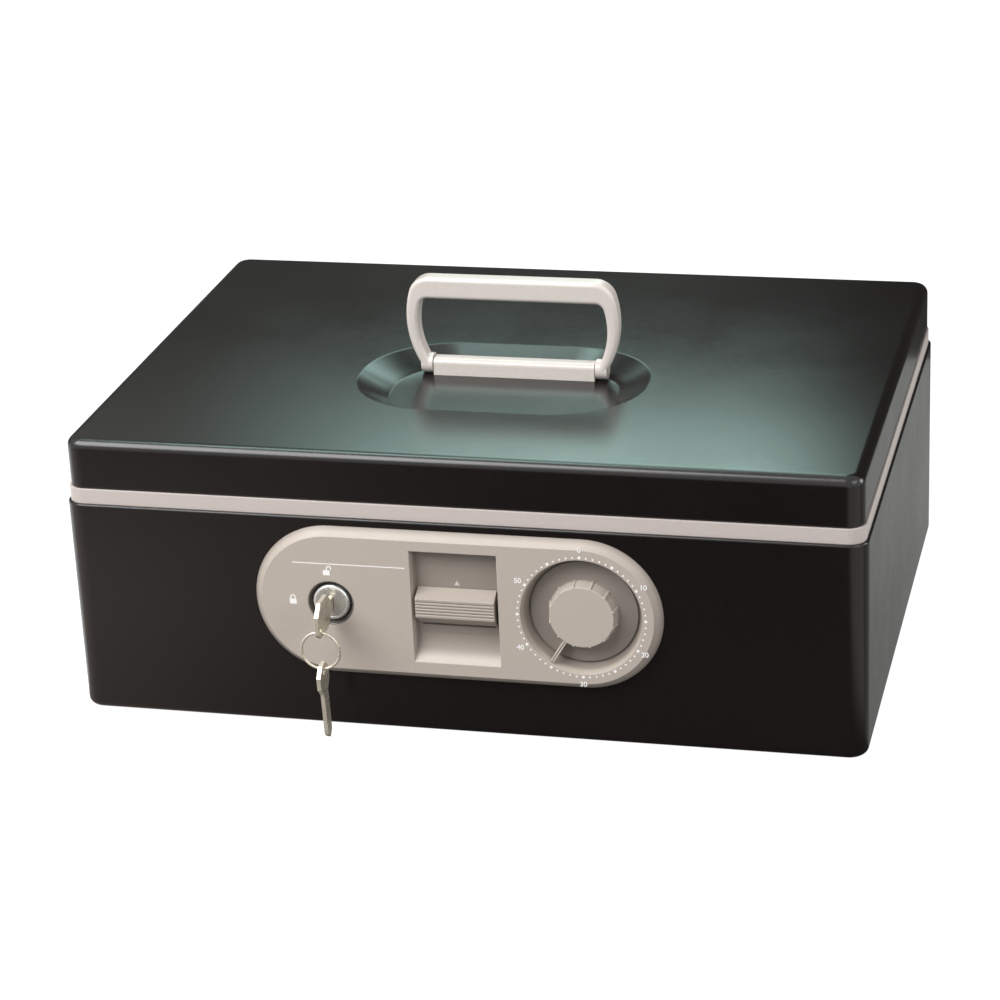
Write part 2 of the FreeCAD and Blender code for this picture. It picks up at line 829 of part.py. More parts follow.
def slide_guide_studs():
    """Headed studs on the front wall that guide the slide plate."""
    studs = []
    head_y = plate_back_y + small_gap
    for x in (-guide_x, guide_x):
        shank = rod_y(x, guide_z, guide_radius, wall_inner_y, head_y)
        studs.append(shank.fuse(rod_y(x, guide_z, guide_head_radius, head_y, head_y + guide_head)))
    return group(studs)


def slide_return_springs():
    """Two compression springs that push the slide plate down again."""
    low = plate_top + return_spring_wire / 2 + touch_gap
    high = case_top - case_wall - return_spring_wire / 2 - touch_gap
    pitch = (high - low) / return_spring_turns
    y = (plate_front_y + plate_back_y) / 2
    springs = []
    for x in (-return_spring_x, return_spring_x):
        helix = Part.makeHelix(pitch, high - low, return_spring_radius)
        helix.translate(V(x, y, low))
        start = helix.Edges[0].Vertexes[0].Point
        section = Part.Wire(Part.makeCircle(return_spring_wire / 2, start, Y_AXIS))
        springs.append(Part.Wire(helix.Edges).makePipeShell([section], True, True))
    return group(springs)


# Combination dial pieces


def knob_ridge(angle, foot, face):
    """One grip ridge on the knob's side, from its foot to its face."""
    front_z = dial_z + knob_front_radius
    foot_z = dial_z + knob_base_radius
    outline = [(face, front_z - ridge_root), (face, front_z + ridge_rise),
               (foot, foot_z + ridge_rise), (foot, foot_z - ridge_root)]
    ridge = prism_x(outline, dial_x - ridge_width / 2, dial_x + ridge_width / 2)
    ridge.rotate(V(dial_x, 0, dial_z), Y_AXIS, angle)
    return ridge


def dial_pointer():
    """The grooved pointer fin: deep over the dial, thin where it reaches over the dish wall."""
    half = pointer_width / 2
    front = panel_front_y + 2 * knob_sink
    tip_back = front + pointer_tip_depth
    dish_slope = (dish_rim_radius - dish_foot_radius) / dish_depth
    tip = dish_rim_radius - dish_slope * (tip_back - panel_front_y) - pointer_end_gap
    edge = dish_foot_radius - dial_edge_gap - pointer_end_gap
    fin = block(dial_x - half, dial_x + half, front, front + pointer_height + dial_edge,
                dial_z + pointer_root, dial_z + edge)
    over = block(dial_x - half, dial_x + half, front, tip_back, dial_z + pointer_root, dial_z + tip)
    half = pointer_groove_width / 2
    groove = block(dial_x - half, dial_x + half, front - cut_margin, front + pointer_groove_depth,
                   dial_z + knob_front_radius + ridge_rise, dial_z + tip + cut_margin)
    pointer = fin.fuse(over).cut(groove)
    pointer.rotate(V(dial_x, 0, dial_z), Y_AXIS, pointer_angle)
    return pointer


def dial_knob():
    """The dial: thin flange, round ridged knob and a pointer."""
    back = dish_floor_y - dial_lift
    edge = dish_foot_radius - dial_edge_gap
    flange_front = back - dial_edge
    face = panel_front_y + knob_sink
    foot = face + knob_rise
    dial = turned_y([(0, back), (edge, back), (edge, flange_front), (knob_base_radius, foot),
                     (knob_front_radius, face), (0, face)], dial_x, dial_z)
    pieces = [dial_pointer()]
    for index in range(ridge_count):
        pieces.append(knob_ridge(pointer_angle + 360 / ridge_count * (index + 0.5), foot, face))
    seat = rod_y(dial_x, dial_z, spindle_radius, back - spindle_seat, back + cut_margin)
    return dial.fuse(pieces).cut(seat).removeSplitter()


def dial_spindle():
    """The shaft that carries the drive disc and the wheels."""
    return rod_y(dial_x, dial_z, spindle_radius, dish_floor_y - dial_lift - spindle_seat, spindle_back_y)


def dial_bush():
    """The flanged bush in the dish floor that the spindle turns in."""
    radius = spindle_radius + bush_wall
    body = rod_y(dial_x, dial_z, radius, dish_floor_y, disc_front_y - disc_gap)
    flange = rod_y(dial_x, dial_z, radius + bush_flange, dish_back_y, dish_back_y + moulded_wall / 2)
    bore = rod_y(dial_x, dial_z, spindle_radius + running_gap, dish_floor_y - cut_margin, spindle_back_y)
    return body.fuse(flange).cut(bore)


def drive_pin(angle, y0, y1):
    """A short pin on the drive circle of the dial's axis."""
    x, z = around_y(dial_x, dial_z, drive_pin_circle, angle)
    return rod_y(x, z, drive_pin_radius, y0, y1)


def drive_disc():
    """The disc on the spindle whose pin picks up the first wheel."""
    disc = tube_y(dial_x, dial_z, disc_radius, spindle_radius, disc_front_y, disc_back_y)
    return disc.fuse(drive_pin(0, disc_back_y - touch_gap, wheel_2_front_y - pin_tip_gap))


def combination_wheel(front_pin, rear_pin, y_front):
    """A gated wheel on the spindle with a pick-up pin in front and perhaps one behind."""
    y_back = y_front + wheel_thickness
    wheel = tube_y(dial_x, dial_z, wheel_radius, spindle_radius + running_gap, y_front, y_back)
    gate = block(dial_x - gate_width / 2, dial_x + gate_width / 2, y_front - cut_margin, y_back + cut_margin,
                 wheel_bottom - cut_margin, wheel_bottom + gate_depth)
    wheel = wheel.cut(gate)
    reach = wheel_step - pin_tip_gap
    wheel = wheel.fuse(drive_pin(front_pin, y_front - reach, y_front + touch_gap))
    if rear_pin is not None:
        wheel = wheel.fuse(drive_pin(rear_pin, y_back - touch_gap, y_back + reach))
    return wheel


def combination_wheel_2():
    """The wheel next to the drive disc."""
    return combination_wheel(-wheel_2_high_turn - pin_clear_angle, 0, wheel_2_front_y)


def combination_wheel_1():
    """The rear wheel, picked up by the wheel in front of it."""
    return combination_wheel(-pin_clear_angle, None, wheel_1_front_y)


def spindle_clip():
    """The retaining ring on the spindle's end."""
    return tube_y(dial_x, dial_z, spindle_radius + clip_width, spindle_radius,
                  spindle_back_y - clip_thickness, spindle_back_y)


# Key lock pieces


def lock_bezel():
    """The dark countersunk ring round the lock."""
    inner = lock_radius + lock_gap
    return turned_y([(bezel_radius, panel_front_y), (bezel_radius, front_y), (inner, front_y),
                     (inner, front_y - panel_thickness / 4), (bezel_radius - bezel_lip, panel_front_y)],
                    lock_x, lock_z)


def lock_housing():
    """The fixed lock barrel with a rounded chrome rim."""
    barrel = rod_y(lock_x, lock_z, lock_radius, barrel_front_y, barrel_back_y)
    rim = [edge for edge in barrel.Edges if abs(edge.BoundBox.YMax - barrel_front_y) < 1e-4]
    barrel = barrel.makeFillet(lock_rim_radius, rim)
    bore = rod_y(lock_x, lock_z, plug_radius + running_gap, barrel_front_y - cut_margin,
                 barrel_back_y + cut_margin)
    return barrel.cut(bore)


def lock_nut():
    """The nut that clamps the lock barrel to the front wall."""
    bore = rod_y(lock_x, lock_z, lock_radius, wall_inner_y - cut_margin,
                 wall_inner_y + lock_nut_height + cut_margin)
    return hex_y(lock_x, lock_z, lock_nut_across, wall_inner_y, wall_inner_y + lock_nut_height).cut(bore)


def lock_plug():
    """The turning plug with its keyway."""
    plug = rod_y(lock_x, lock_z, plug_radius, barrel_front_y, plug_back_y)
    half = key_thickness / 2 + keyway_gap
    tall = key_blade_height / 2 + keyway_gap
    keyway = block(lock_x - half, lock_x + half, barrel_front_y - cut_margin, barrel_front_y + keyway_depth,
                   lock_z - tall, lock_z + tall)
    screw_hole = rod_y(lock_x, lock_z, cam_screw_radius, plug_back_y - cam_screw_depth,
                       plug_back_y + cut_margin)
    return plug.cut([keyway, screw_hole])


def lock_cam():
    """The arm behind the plug that blocks the slide plate's lug when the lock is turned."""
    hub = rod_y(lock_x, lock_z, plug_radius, plug_back_y, cam_back_y)
    arm = block(lock_x - cam_length, lock_x, plug_back_y, cam_back_y,
                lock_z - cam_half_width, lock_z + cam_half_width)
    hole = rod_y(lock_x, lock_z, cam_screw_radius, plug_back_y - cut_margin, cam_back_y + cut_margin)
    return hub.fuse(arm).cut(hole).removeSplitter()


def cam_screw():
    """The screw that holds the cam on the plug."""
    shank = rod_y(lock_x, lock_z, cam_screw_radius, plug_back_y - cam_screw_depth, cam_back_y)
    head = rod_y(lock_x, lock_z, cam_screw_head_radius, cam_back_y, cam_back_y + fastener_head)
    return shank.fuse(head)


def key():
    """The flat key in the lock: cut blade, neck and a bow with its corners taken off."""
    tip = barrel_front_y + key_blade_length
    top = lock_z + bow_height / 2
    bottom = lock_z - bow_height / 2
    half = key_blade_height / 2
    upper = [(bow_back_y, lock_z + neck_height / 2), (bow_back_y, top - bow_chamfer),
             (bow_back_y - bow_chamfer, top), (bow_front_y + bow_chamfer, top),
             (bow_front_y, top - bow_chamfer)]
    lower = [(bow_front_y, bottom + bow_chamfer / 2), (bow_front_y + bow_chamfer / 2, bottom),
             (bow_back_y - bow_chamfer, bottom), (bow_back_y, bottom + bow_chamfer),
             (bow_back_y, lock_z - neck_height / 2)]
    blade = [(barrel_front_y, lock_z - neck_height / 2), (barrel_front_y, lock_z - half),
             (tip - half, lock_z - half), (tip, lock_z)]
    pitch = (key_blade_length - 2 * half) / key_bites
    for bite in range(key_bites):
        root = tip - half - pitch * bite
        blade.append((root, lock_z + half))
        blade.append((root - pitch / 2, lock_z + half - key_bite))
    blade.append((barrel_front_y, lock_z + half))
    blade.append((barrel_front_y, lock_z + neck_height / 2))
    x0 = lock_x - key_thickness / 2
    x1 = lock_x + key_thickness / 2
    plate = prism_x(upper + lower + blade, x0, x1)
    hole_z = ring_top_z - ring_wire - ring_play + key_hole_radius
    return plate.cut(rod_x(ring_y, hole_z, key_hole_radius, x0 - cut_margin, x1 + cut_margin))


def key_ring():
    """The wire ring through both keys."""
    return Part.makeTorus(ring_radius, ring_wire, V(lock_x, ring_y, ring_top_z - ring_radius), Y_AXIS)


def spare_key():
    """The second key, hanging from the ring."""
    hole_z = ring_bottom_z + ring_wire + ring_play - key_hole_radius
    top = ring_bottom_z + ring_wire + ring_play + hole_wall
    tip = top - spare_length
    bow_bottom = top - spare_bow_length
    wide = spare_bow_width / 2
    narrow = spare_blade_width / 2
    cut = spare_bow_chamfer
    outline = [
        (ring_y - wide + cut, top), (ring_y + wide - cut, top), (ring_y + wide, top - cut),
        (ring_y + wide, bow_bottom + cut), (ring_y + narrow, bow_bottom),
        (ring_y + narrow, tip + narrow), (ring_y, tip),
        (ring_y - narrow, tip + narrow), (ring_y - narrow, bow_bottom),
        (ring_y - wide, bow_bottom + cut), (ring_y - wide, top - cut),
    ]
    x0 = lock_x - key_thickness / 2
    x1 = lock_x + key_thickness / 2
    plate = prism_x(outline, x0, x1)
    plate = plate.cut(rod_x(ring_y, hole_z, key_hole_radius, x0 - cut_margin, x1 + cut_margin))
    plate.rotate(V(lock_x, ring_y, ring_bottom_z), X_AXIS, spare_tilt)
    return plate


# Lid pieces


def recess_loft(drop):
    """The round-cornered handle recess with sloping walls, moved down by a given amount."""
    rim = rounded_outline(recess_width, recess_depth, recess_rim_corner, recess_centre_y, lid_top - drop)
    floor = rounded_outline(recess_width - 2 * recess_end_slope, recess_floor_depth,
                            recess_floor_corner, recess_centre_y, recess_floor_z - drop)
    return Part.makeLoft([rim, floor], True, True)


def handle_screw_places():
    """The X of the two handle screws."""
    return [-handle_screw_spacing / 2, handle_screw_spacing / 2]


def lid_shell():
    """The pressed steel lid with its sunken handle recess."""
    outer = inset_block(lid_inset, lid_bottom, lid_top, lid_corner_radius)
    outer = outer.makeFillet(lid_edge_radius, edges_at_z(outer, lid_top))
    room_top = lid_top - steel
    room = inset_block(lid_inset + steel, lid_bottom - cut_margin, room_top, lid_corner_radius - steel)
    room = room.makeFillet(lid_edge_radius - steel, edges_at_z(room, room_top))
    shell = outer.cut(recess_loft(0)).cut(room.cut(recess_loft(steel)))
    holes = []
    for x in handle_screw_places():
        holes.append(rod_z(x, handle_y, handle_screw_radius, recess_floor_z - 2 * steel,
                           recess_floor_z + cut_margin))
    rear = back_y - lid_inset
    for x in hinge_rivet_places():
        holes.append(rod_y(x, lid_rivet_z(), rivet_radius, rear - steel - cut_margin, rear + cut_margin))
    return shell.cut(holes)


def lid_keeper():
    """The bracket in the lid whose eye the spring catch holds."""
    skirt_y = lid_inner_front_y + keeper_thickness / 2
    shelf_z = lid_bottom + keeper_shelf_rise
    line = [(skirt_y, shelf_z + keeper_flange), (skirt_y, shelf_z),
            (keeper_y, shelf_z), (keeper_y, keeper_bottom)]
    strip = bent_strip(line, keeper_thickness, -keeper_half_width, keeper_half_width)
    eye = block(-keeper_eye_half, keeper_eye_half, keeper_y - cut_margin, keeper_y + cut_margin,
                keeper_eye_bottom, keeper_eye_bottom + keeper_eye_height)
    return strip.cut(eye)


def handle_base():
    """The bar in the recess that carries the handle."""
    half = bar_width / 2
    bar = block(-half, half, handle_y - bar_depth / 2, handle_y + bar_depth / 2,
                recess_floor_z, recess_floor_z + bar_height)
    upper = [edge for edge in edges_along_x(bar) if edge.BoundBox.ZMin > recess_floor_z + touch_gap]
    bar = bar.makeFillet(bar_edge_radius, upper)
    holes = []
    for x in handle_screw_places():
        holes.append(rod_z(x, handle_y, handle_screw_radius, recess_floor_z - cut_margin,
                           recess_floor_z + handle_screw_length))
    for x0 in (-half - cut_margin, half - handle_pin_depth):
        holes.append(rod_x(handle_y, handle_pivot_z, handle_pin_radius, x0,
                           x0 + handle_pin_depth + cut_margin))
    return bar.cut(holes)


def handle_screws():
    """Screws from below that hold the handle's bar to the lid."""
    screws = []
    seat = recess_floor_z - steel
    for x in handle_screw_places():
        shank = rod_z(x, handle_y, handle_screw_radius, seat, recess_floor_z + handle_screw_length)
        head = rod_z(x, handle_y, 2 * handle_screw_radius, seat - fastener_head, seat)
        screws.append(shank.fuse(head))
    return group(screws)


def handle_pins():
    """Two pins in the bar's ends that the handle turns on."""
    reach = bar_width / 2 + leg_gap + leg_thickness - small_gap
    root = bar_width / 2 - handle_pin_depth
    return group([rod_x(handle_y, handle_pivot_z, handle_pin_radius, -reach, -root),
                  rod_x(handle_y, handle_pivot_z, handle_pin_radius, root, reach)])


def carry_handle():
    """The moulded bail: bowed legs, rounded shoulders and a straight grip."""
    foot_inner = bar_width / 2 + leg_gap
    foot_outer = foot_inner + leg_thickness
    low = handle_pivot_z
    top = low + handle_rise
    grip_low = top - grip_thickness
    front = handle_y - handle_thickness / 2

    def at(x, z):
        return V(x, front, z)

    inner_bulge = handle_half_width - leg_thickness
    edges = []
    for side in (1, -1):
        edges.append(Part.Arc(at(side * foot_outer, low), at(side * handle_half_width, low + bulge_rise),
                              at(side * shoulder_half_width, top)).toShape())
        inner_middle = at(side * inner_bulge, low + bulge_rise - bulge_step)
        edges.append(Part.Arc(at(side * foot_inner, low), inner_middle,
                              at(side * inner_shoulder_half_width, grip_low)).toShape())
        edges.append(Part.LineSegment(at(side * foot_inner, low), at(side * foot_outer, low)).toShape())
    for half, z in ((shoulder_half_width, top), (inner_shoulder_half_width, grip_low)):
        edges.append(Part.LineSegment(at(-half, z), at(half, z)).toShape())
    outline = Part.Wire(Part.__sortEdges__(edges))
    bail = Part.Face(outline).extrude(V(0, handle_thickness, 0))
    for z, radius in ((top, shoulder_radius), (grip_low, inner_corner_radius)):
        corners = []
        for edge in edges_at_z(bail, z):
            if edge.BoundBox.XLength < 1e-4:
                corners.append(edge)
        bail = bail.makeFillet(radius, corners)
    rims = []
    for edge in bail.Edges:
        box = edge.BoundBox
        if box.YLength < 1e-4 and box.ZMax > low + touch_gap:
            rims.append(edge)
    bail = bail.makeFillet(handle_edge_radius, rims)
    solids = []
    bores = []
    for x0 in (foot_inner, -foot_outer):
        solids.append(rod_x(handle_y, handle_pivot_z, handle_thickness / 2, x0, x0 + leg_thickness))
        bores.append(rod_x(handle_y, handle_pivot_z, handle_pin_radius + running_gap, x0 - cut_margin,
                           x0 + leg_thickness + cut_margin))
    return bail.fuse(solids).cut(bores)


# Hinge pieces


def knuckle(centre_x, length):
    """One solid hinge knuckle."""
    x0 = centre_x - length / 2
    return rod_x(hinge_axis_y, hinge_axis_z, knuckle_radius, x0, x0 + length)


def pin_bore(centre_x):
    """The running bore for one hinge pin."""
    half = hinge_length / 2 + cut_margin
    return rod_x(hinge_axis_y, hinge_axis_z, hinge_pin_radius + running_gap, centre_x - half, centre_x + half)


def hinge_body_leaf(centre_x):
    """The leaf on the body's rear wall with two outer knuckles."""
    top = body_rivet_z() + body_leaf_height / 2
    bottom = body_rivet_z() - body_leaf_height / 2
    x0 = centre_x - hinge_length / 2
    x1 = centre_x + hinge_length / 2
    plate = block(x0, x1, back_y, back_y + leaf_thickness, bottom, top)
    web = prism_x([(back_y, top - leaf_thickness), (back_y + leaf_thickness, top - leaf_thickness),
                   (hinge_axis_y + knuckle_radius - leaf_thickness, hinge_axis_z - leaf_thickness),
                   (hinge_axis_y - leaf_thickness, hinge_axis_z - leaf_thickness), (back_y, top)], x0, x1)
    side_length = (hinge_length - hinge_lid_knuckle) / 2 - hinge_gap
    knuckles = []
    for side in (-1, 1):
        knuckles.append(knuckle(centre_x + side * (hinge_length - side_length) / 2, side_length))
    gap = hinge_lid_knuckle / 2 + hinge_gap
    notch = block(centre_x - gap, centre_x + gap, back_y + leaf_thickness, hinge_axis_y + 2 * knuckle_radius,
                  top - leaf_thickness, lid_top)
    relief = rod_x(hinge_axis_y, hinge_axis_z, knuckle_radius + small_gap, centre_x - gap, centre_x + gap)
    holes = [pin_bore(centre_x)]
    for side in (-rivet_spacing / 2, rivet_spacing / 2):
        holes.append(rod_y(centre_x + side, body_rivet_z(), rivet_radius,
                           back_y - cut_margin, back_y + cut_margin))
    return plate.fuse(web.cut([notch, relief])).fuse(knuckles).cut(holes).removeSplitter()


def hinge_lid_leaf(centre_x):
    """The leaf on the lid's rear skirt with the middle knuckle."""
    rear = back_y - lid_inset
    bottom = lid_bottom + leaf_rise
    plate = block(centre_x - hinge_length / 2, centre_x + hinge_length / 2, rear, rear + leaf_thickness,
                  bottom, bottom + lid_leaf_height)
    half = hinge_lid_knuckle / 2
    web = prism_x([(rear, bottom), (rear, bottom + leaf_thickness),
                   (rear + leaf_thickness, bottom + leaf_thickness),
                   (hinge_axis_y, hinge_axis_z + knuckle_radius),
                   (hinge_axis_y, hinge_axis_z + knuckle_radius - leaf_thickness)],
                  centre_x - half, centre_x + half)
    holes = [pin_bore(centre_x)]
    for side in (-rivet_spacing / 2, rivet_spacing / 2):
        holes.append(rod_y(centre_x + side, lid_rivet_z(), rivet_radius,
                           rear - cut_margin, rear + cut_margin))
    return plate.fuse([web, knuckle(centre_x, hinge_lid_knuckle)]).cut(holes).removeSplitter()


def hinge_pin(centre_x):
    """The pin of one hinge."""
    half = hinge_length / 2 + hinge_pin_overhang
    return rod_x(hinge_axis_y, hinge_axis_z, hinge_pin_radius, centre_x - half, centre_x + half)


def rivet_row(inner_y, outer_y, z):
    """Rivets through a leaf and a wall."""
    rivets = []
    for x in hinge_rivet_places():
        shank = rod_y(x, z, rivet_radius, inner_y, outer_y)
        inside = rod_y(x, z, rivet_head_radius, inner_y - rivet_head, inner_y)
        outside = rod_y(x, z, rivet_head_radius, outer_y, outer_y + rivet_head)
        rivets.append(shank.fuse([inside, outside]))
    return group(rivets)


def hinge_body_rivets():
    """Rivets of the two body leaves."""
    return rivet_row(back_y - steel, back_y + leaf_thickness, body_rivet_z())


def hinge_lid_rivets():
    """Rivets of the two lid leaves."""
    rear = back_y - lid_inset
    return rivet_row(rear - steel, rear + leaf_thickness, lid_rivet_z())


# Coin tray


def tray_wells(count, y0, y1, half_width, floor_z, top_z):
    """A row of equal wells with rounded uprights and floor edges."""
    pitch = (2 * half_width + tray_wall) / count
    wells = []
    for index in range(count):
        x0 = -half_width + pitch * index
        well = block(x0, x0 + pitch - tray_wall, y0, y1, floor_z, top_z + cut_margin)
        well = well.makeFillet(tray_corner_radius, upright_edges(well))
        wells.append(well.makeFillet(tray_corner_radius / 2, edges_at_z(well, floor_z)))
    return wells


def coin_tray():
    """The moulded tray that rests and slides on the frame's side ledges."""
    flange_half = box_width / 2 - frame_inner_inset - tray_side_gap
    flange_bottom = ledge_top + touch_gap
    top = flange_bottom + tray_flange_thickness
    well_half = box_width / 2 - frame_inner_inset - ledge_width - tray_well_side_gap
    bottom = top - tray_well_depth
    rear = tray_front_y + tray_depth
    flange = block(-flange_half, flange_half, tray_front_y, rear, flange_bottom, top)
    tub = block(-well_half, well_half, tray_front_y + tray_wall, rear - tray_wall, bottom, top)
    tub = tub.makeFillet(tray_corner_radius, upright_edges(tub))
    tub = tub.makeFillet(tray_corner_radius / 2, edges_at_z(tub, bottom))
    inner = well_half - tray_wall
    split = tray_front_y + 2 * tray_wall + coin_well_depth_y
    floor = bottom + tray_wall
    coins = tray_wells(coin_well_count, tray_front_y + 2 * tray_wall, split, inner, floor, top)
    notes = tray_wells(note_well_count, split + tray_wall, rear - 2 * tray_wall, inner, floor, top)
    return flange.fuse(tub).cut(coins + notes).removeSplitter()


def all_pieces():
    """Every node's name with its shape."""
    return {
        "body_shell": body_shell(),
        "trim_frame": trim_frame(),
        "control_panel": control_panel(),
        "panel_screws": panel_screws(),
        "lock_case": lock_case(),
        "case_studs": case_studs(),
        "case_nuts": case_nuts(),
        "catch_spring": catch_spring(),
        "catch_rivets": catch_rivets(),
        "slide_button": slide_button(),
        "slide_plate": slide_plate(),
        "slide_plate_screw": slide_plate_screw(),
        "slide_guide_studs": slide_guide_studs(),
        "slide_return_springs": slide_return_springs(),
        "dial_knob": dial_knob(),
        "dial_spindle": dial_spindle(),
        "dial_bush": dial_bush(),
        "drive_disc": drive_disc(),
        "combination_wheel_1": combination_wheel_1(),
        "combination_wheel_2": combination_wheel_2(),
        "spindle_clip": spindle_clip(),
        "lock_bezel": lock_bezel(),
        "lock_housing": lock_housing(),
        "lock_nut": lock_nut(),
        "lock_plug": lock_plug(),
        "lock_cam": lock_cam(),
        "cam_screw": cam_screw(),
        "key": key(),
        "key_ring": key_ring(),
        "spare_key": spare_key(),
        "lid_shell": lid_shell(),
        "lid_keeper": lid_keeper(),
        "handle_base": handle_base(),
        "handle_screws": handle_screws(),
        "handle_pins": handle_pins(),
        "carry_handle": carry_handle(),
        "hinge_body_leaf_left": hinge_body_leaf(-hinge_x),
        "hinge_body_leaf_right": hinge_body_leaf(hinge_x),
        "hinge_lid_leaf_left": hinge_lid_leaf(-hinge_x),
        "hinge_lid_leaf_right": hinge_lid_leaf(hinge_x),
        "hinge_pin_left": hinge_pin(-hinge_x),
        "hinge_pin_right": hinge_pin(hinge_x),
        "hinge_body_rivets": hinge_body_rivets(),
        "hinge_lid_rivets": hinge_lid_rivets(),
        "coin_tray": coin_tray(),
    }


def main():
    """Writes one file for each piece."""
    os.makedirs("parts", exist_ok=True)
    for name, shape in all_pieces().items():
        shape.exportStep("parts/" + name + ".step")


main()
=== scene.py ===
import math

import bmesh
import bpy
from mathutils import Matrix, Vector


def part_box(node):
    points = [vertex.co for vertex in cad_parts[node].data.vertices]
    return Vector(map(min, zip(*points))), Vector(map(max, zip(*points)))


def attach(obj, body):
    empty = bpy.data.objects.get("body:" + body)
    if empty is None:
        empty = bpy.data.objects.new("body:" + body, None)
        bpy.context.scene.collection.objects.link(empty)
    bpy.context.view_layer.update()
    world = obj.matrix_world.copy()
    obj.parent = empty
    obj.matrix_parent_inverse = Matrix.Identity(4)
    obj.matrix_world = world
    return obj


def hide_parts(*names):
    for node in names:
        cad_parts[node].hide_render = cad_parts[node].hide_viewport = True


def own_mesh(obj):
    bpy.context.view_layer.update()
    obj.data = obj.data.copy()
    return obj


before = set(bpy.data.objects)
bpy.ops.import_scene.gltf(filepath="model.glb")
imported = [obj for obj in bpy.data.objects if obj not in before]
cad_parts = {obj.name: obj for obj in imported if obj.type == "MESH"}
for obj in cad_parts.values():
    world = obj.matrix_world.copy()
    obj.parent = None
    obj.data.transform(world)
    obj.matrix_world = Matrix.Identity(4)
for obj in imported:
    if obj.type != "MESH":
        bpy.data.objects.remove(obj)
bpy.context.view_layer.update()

# Camera, fitted to the photo's straight edges, then moved 0.9 mm sideways (metres, degrees, sensor in mm)
camera_place = Vector((0.33425, -1.34699, 0.64443))
camera_azimuth = 14.4235
camera_elevation = 22.8142
camera_roll = -2.7131
camera_clip = 0.01
focal_in_pixels = 3070.18
picture_pixels = 1000
sensor_width = 36.0

# Printed dots, numbers and rule on the panel (metres and counts)
ink_rise = 0.00006
ink_sink = 0.0002
dot_circle = 0.0293
dot_count = 60
dot_sides = 16
dots_per_large_dot = 5
dots_per_number = 10
small_dot = 0.00045
large_dot = 0.00072
number_circle = 0.0329
number_size = 0.0034
number_weight = 0.00006
rule_left = -0.0752
rule_right = -0.0224
rule_height = 0.0193
rule_thickness = 0.00042

# Printed padlock signs, placed from the middle of the lock (metres)
symbol_width = 0.0032
symbol_body = 0.0024
symbol_line = 0.00055
open_symbol = (-0.0012, 0.0149)
locked_symbol = (-0.0179, -0.0003)

# Bow of a padlock sign: its radius and swing as shares of the width, its leg as a share of the body,
# and the short leg of an open bow as a share of the long one
bow_radius = 0.40
bow_swing = 0.36
bow_leg = 0.42
bow_short_leg = 0.4
bow_steps = 10

# Moulded arrow above the slide button (metres)
arrow_width = 0.0034
arrow_height = 0.0030
arrow_rise = 0.00012
arrow_gap = 0.0009
button_window_floor = -0.1320

# Top face of the arrow, as shares of its width and height
arrow_top_width = 0.7
arrow_top_foot = 0.12
arrow_top_tip = 0.8

# Painted shade on the dial's flank: darker taupe, measured back from the knob's face (metres)
flank_shade_start = 0.0050
flank_shade_full = 0.0058
flank_shade_colour = (0.245, 0.211, 0.186)

# Painted shade in the panel's recesses: darker plastic, measured back from its face (metres)
recess_shade_start = 0.0015
recess_shade_full = 0.0045
recess_shade_colour = (0.285, 0.245, 0.213)

# Mottle and gloss patches of moulded and painted finishes: their size in grains and the noise band used
mottle_grains = 3
gloss_grains = 5
grain_detail = 4.0
mottle_band = 0.5
gloss_band = 0.6

# Broad handling clouds in the gloss of those finishes (cycles per metre, roughness)
cloud_scale = 16.0
cloud_depth = 0.035
cloud_detail = 5.0
cloud_band = 0.5

# Drawn lines and dull patches of metals (cycles per metre, metres)
line_scale = 900.0
line_detail = 5.0
line_depth = 0.00001
line_strength = 0.5
patch_scale = 160.0

# Lightened edges, partly wear and partly painted highlight: samples of the rounding, and how far the normals
# agree on flats and on fully lightened edges
edge_samples = 6
flat_agreement = 0.98
lightened_edge_agreement = 0.80

# Colour sockets of the mix node
mix_first = 6
mix_second = 7
mix_result = 2

# Plain colours
white = (1.0, 1.0, 1.0, 1.0)
black = (0.0, 0.0, 0.0, 1.0)

# Floor (metres, grey level, brightness)
floor_half = 4.0
floor_drop = 0.0002
floor_shade = 0.3
floor_glow = 0.9

# Surround and lamps (metres and watts)
aim_point = Vector((0.0, 0.0, 0.08))
world_fill = 0.32
key_place = (-0.75, -0.95, 1.30)
key_power = 36.0
key_width = 1.3
key_height = 1.05
fill_place = (1.3, -0.9, 0.9)
fill_power = 6.0
fill_width = 0.8
right_place = (1.2, 0.25, 0.35)
right_power = 6.0
right_width = 0.5

# Wall behind, seen only in glossy surfaces (metres, colour, brightness)
wall_distance = 0.38
wall_half = 3.0
wall_top = 1.1
wall_colour = (1.0, 1.0, 0.95)
wall_left = 0.13
wall_right = 0.05
wall_fade = (0.0, 0.16)

# Soft teal window in that wall
window_colour = (0.70, 1.0, 0.92)
window_glow = 4.2
window_left = 0.07
window_left_fade = (-0.34, -0.05)
window_right_fade = (0.04, 0.15)
window_foot_fade = (0.285, 0.37)
window_tint_full = 0.2

# Card overhead, seen only in glossy surfaces
ceiling_height = 1.5
ceiling_glow = 9.0
ceiling_left = -0.65
ceiling_right = -0.18
ceiling_near = -0.05
ceiling_far = 0.40

# Floor cards in front and on the right, seen only in glossy surfaces
card_height = 0.0005
card_join = -0.12
front_half = 0.9
front_edge = -1.2
front_colour = (1.0, 0.88, 0.82)
front_near = 0.09
front_far = 0.04
front_fade = (-0.40, -0.20)
front_left = 0.80
front_left_fade = (-0.34, 0.02)
front_left_far = 0.3
front_left_depth = (-0.50, -0.24)
front_corner = 0.65
front_corner_fade = (0.19, 0.27)
side_start = 0.15
side_end = 1.4
side_colour = (0.97, 1.0, 0.95)
side_near = 0.28
side_far = 0.40
side_fade = (-0.12, 0.24)


# Shader helpers


def start_material(name):
    """A new node material and its main shader."""
    material = bpy.data.materials.new(name)
    material.use_nodes = True
    return material, material.node_tree, material.node_tree.nodes["Principled BSDF"]


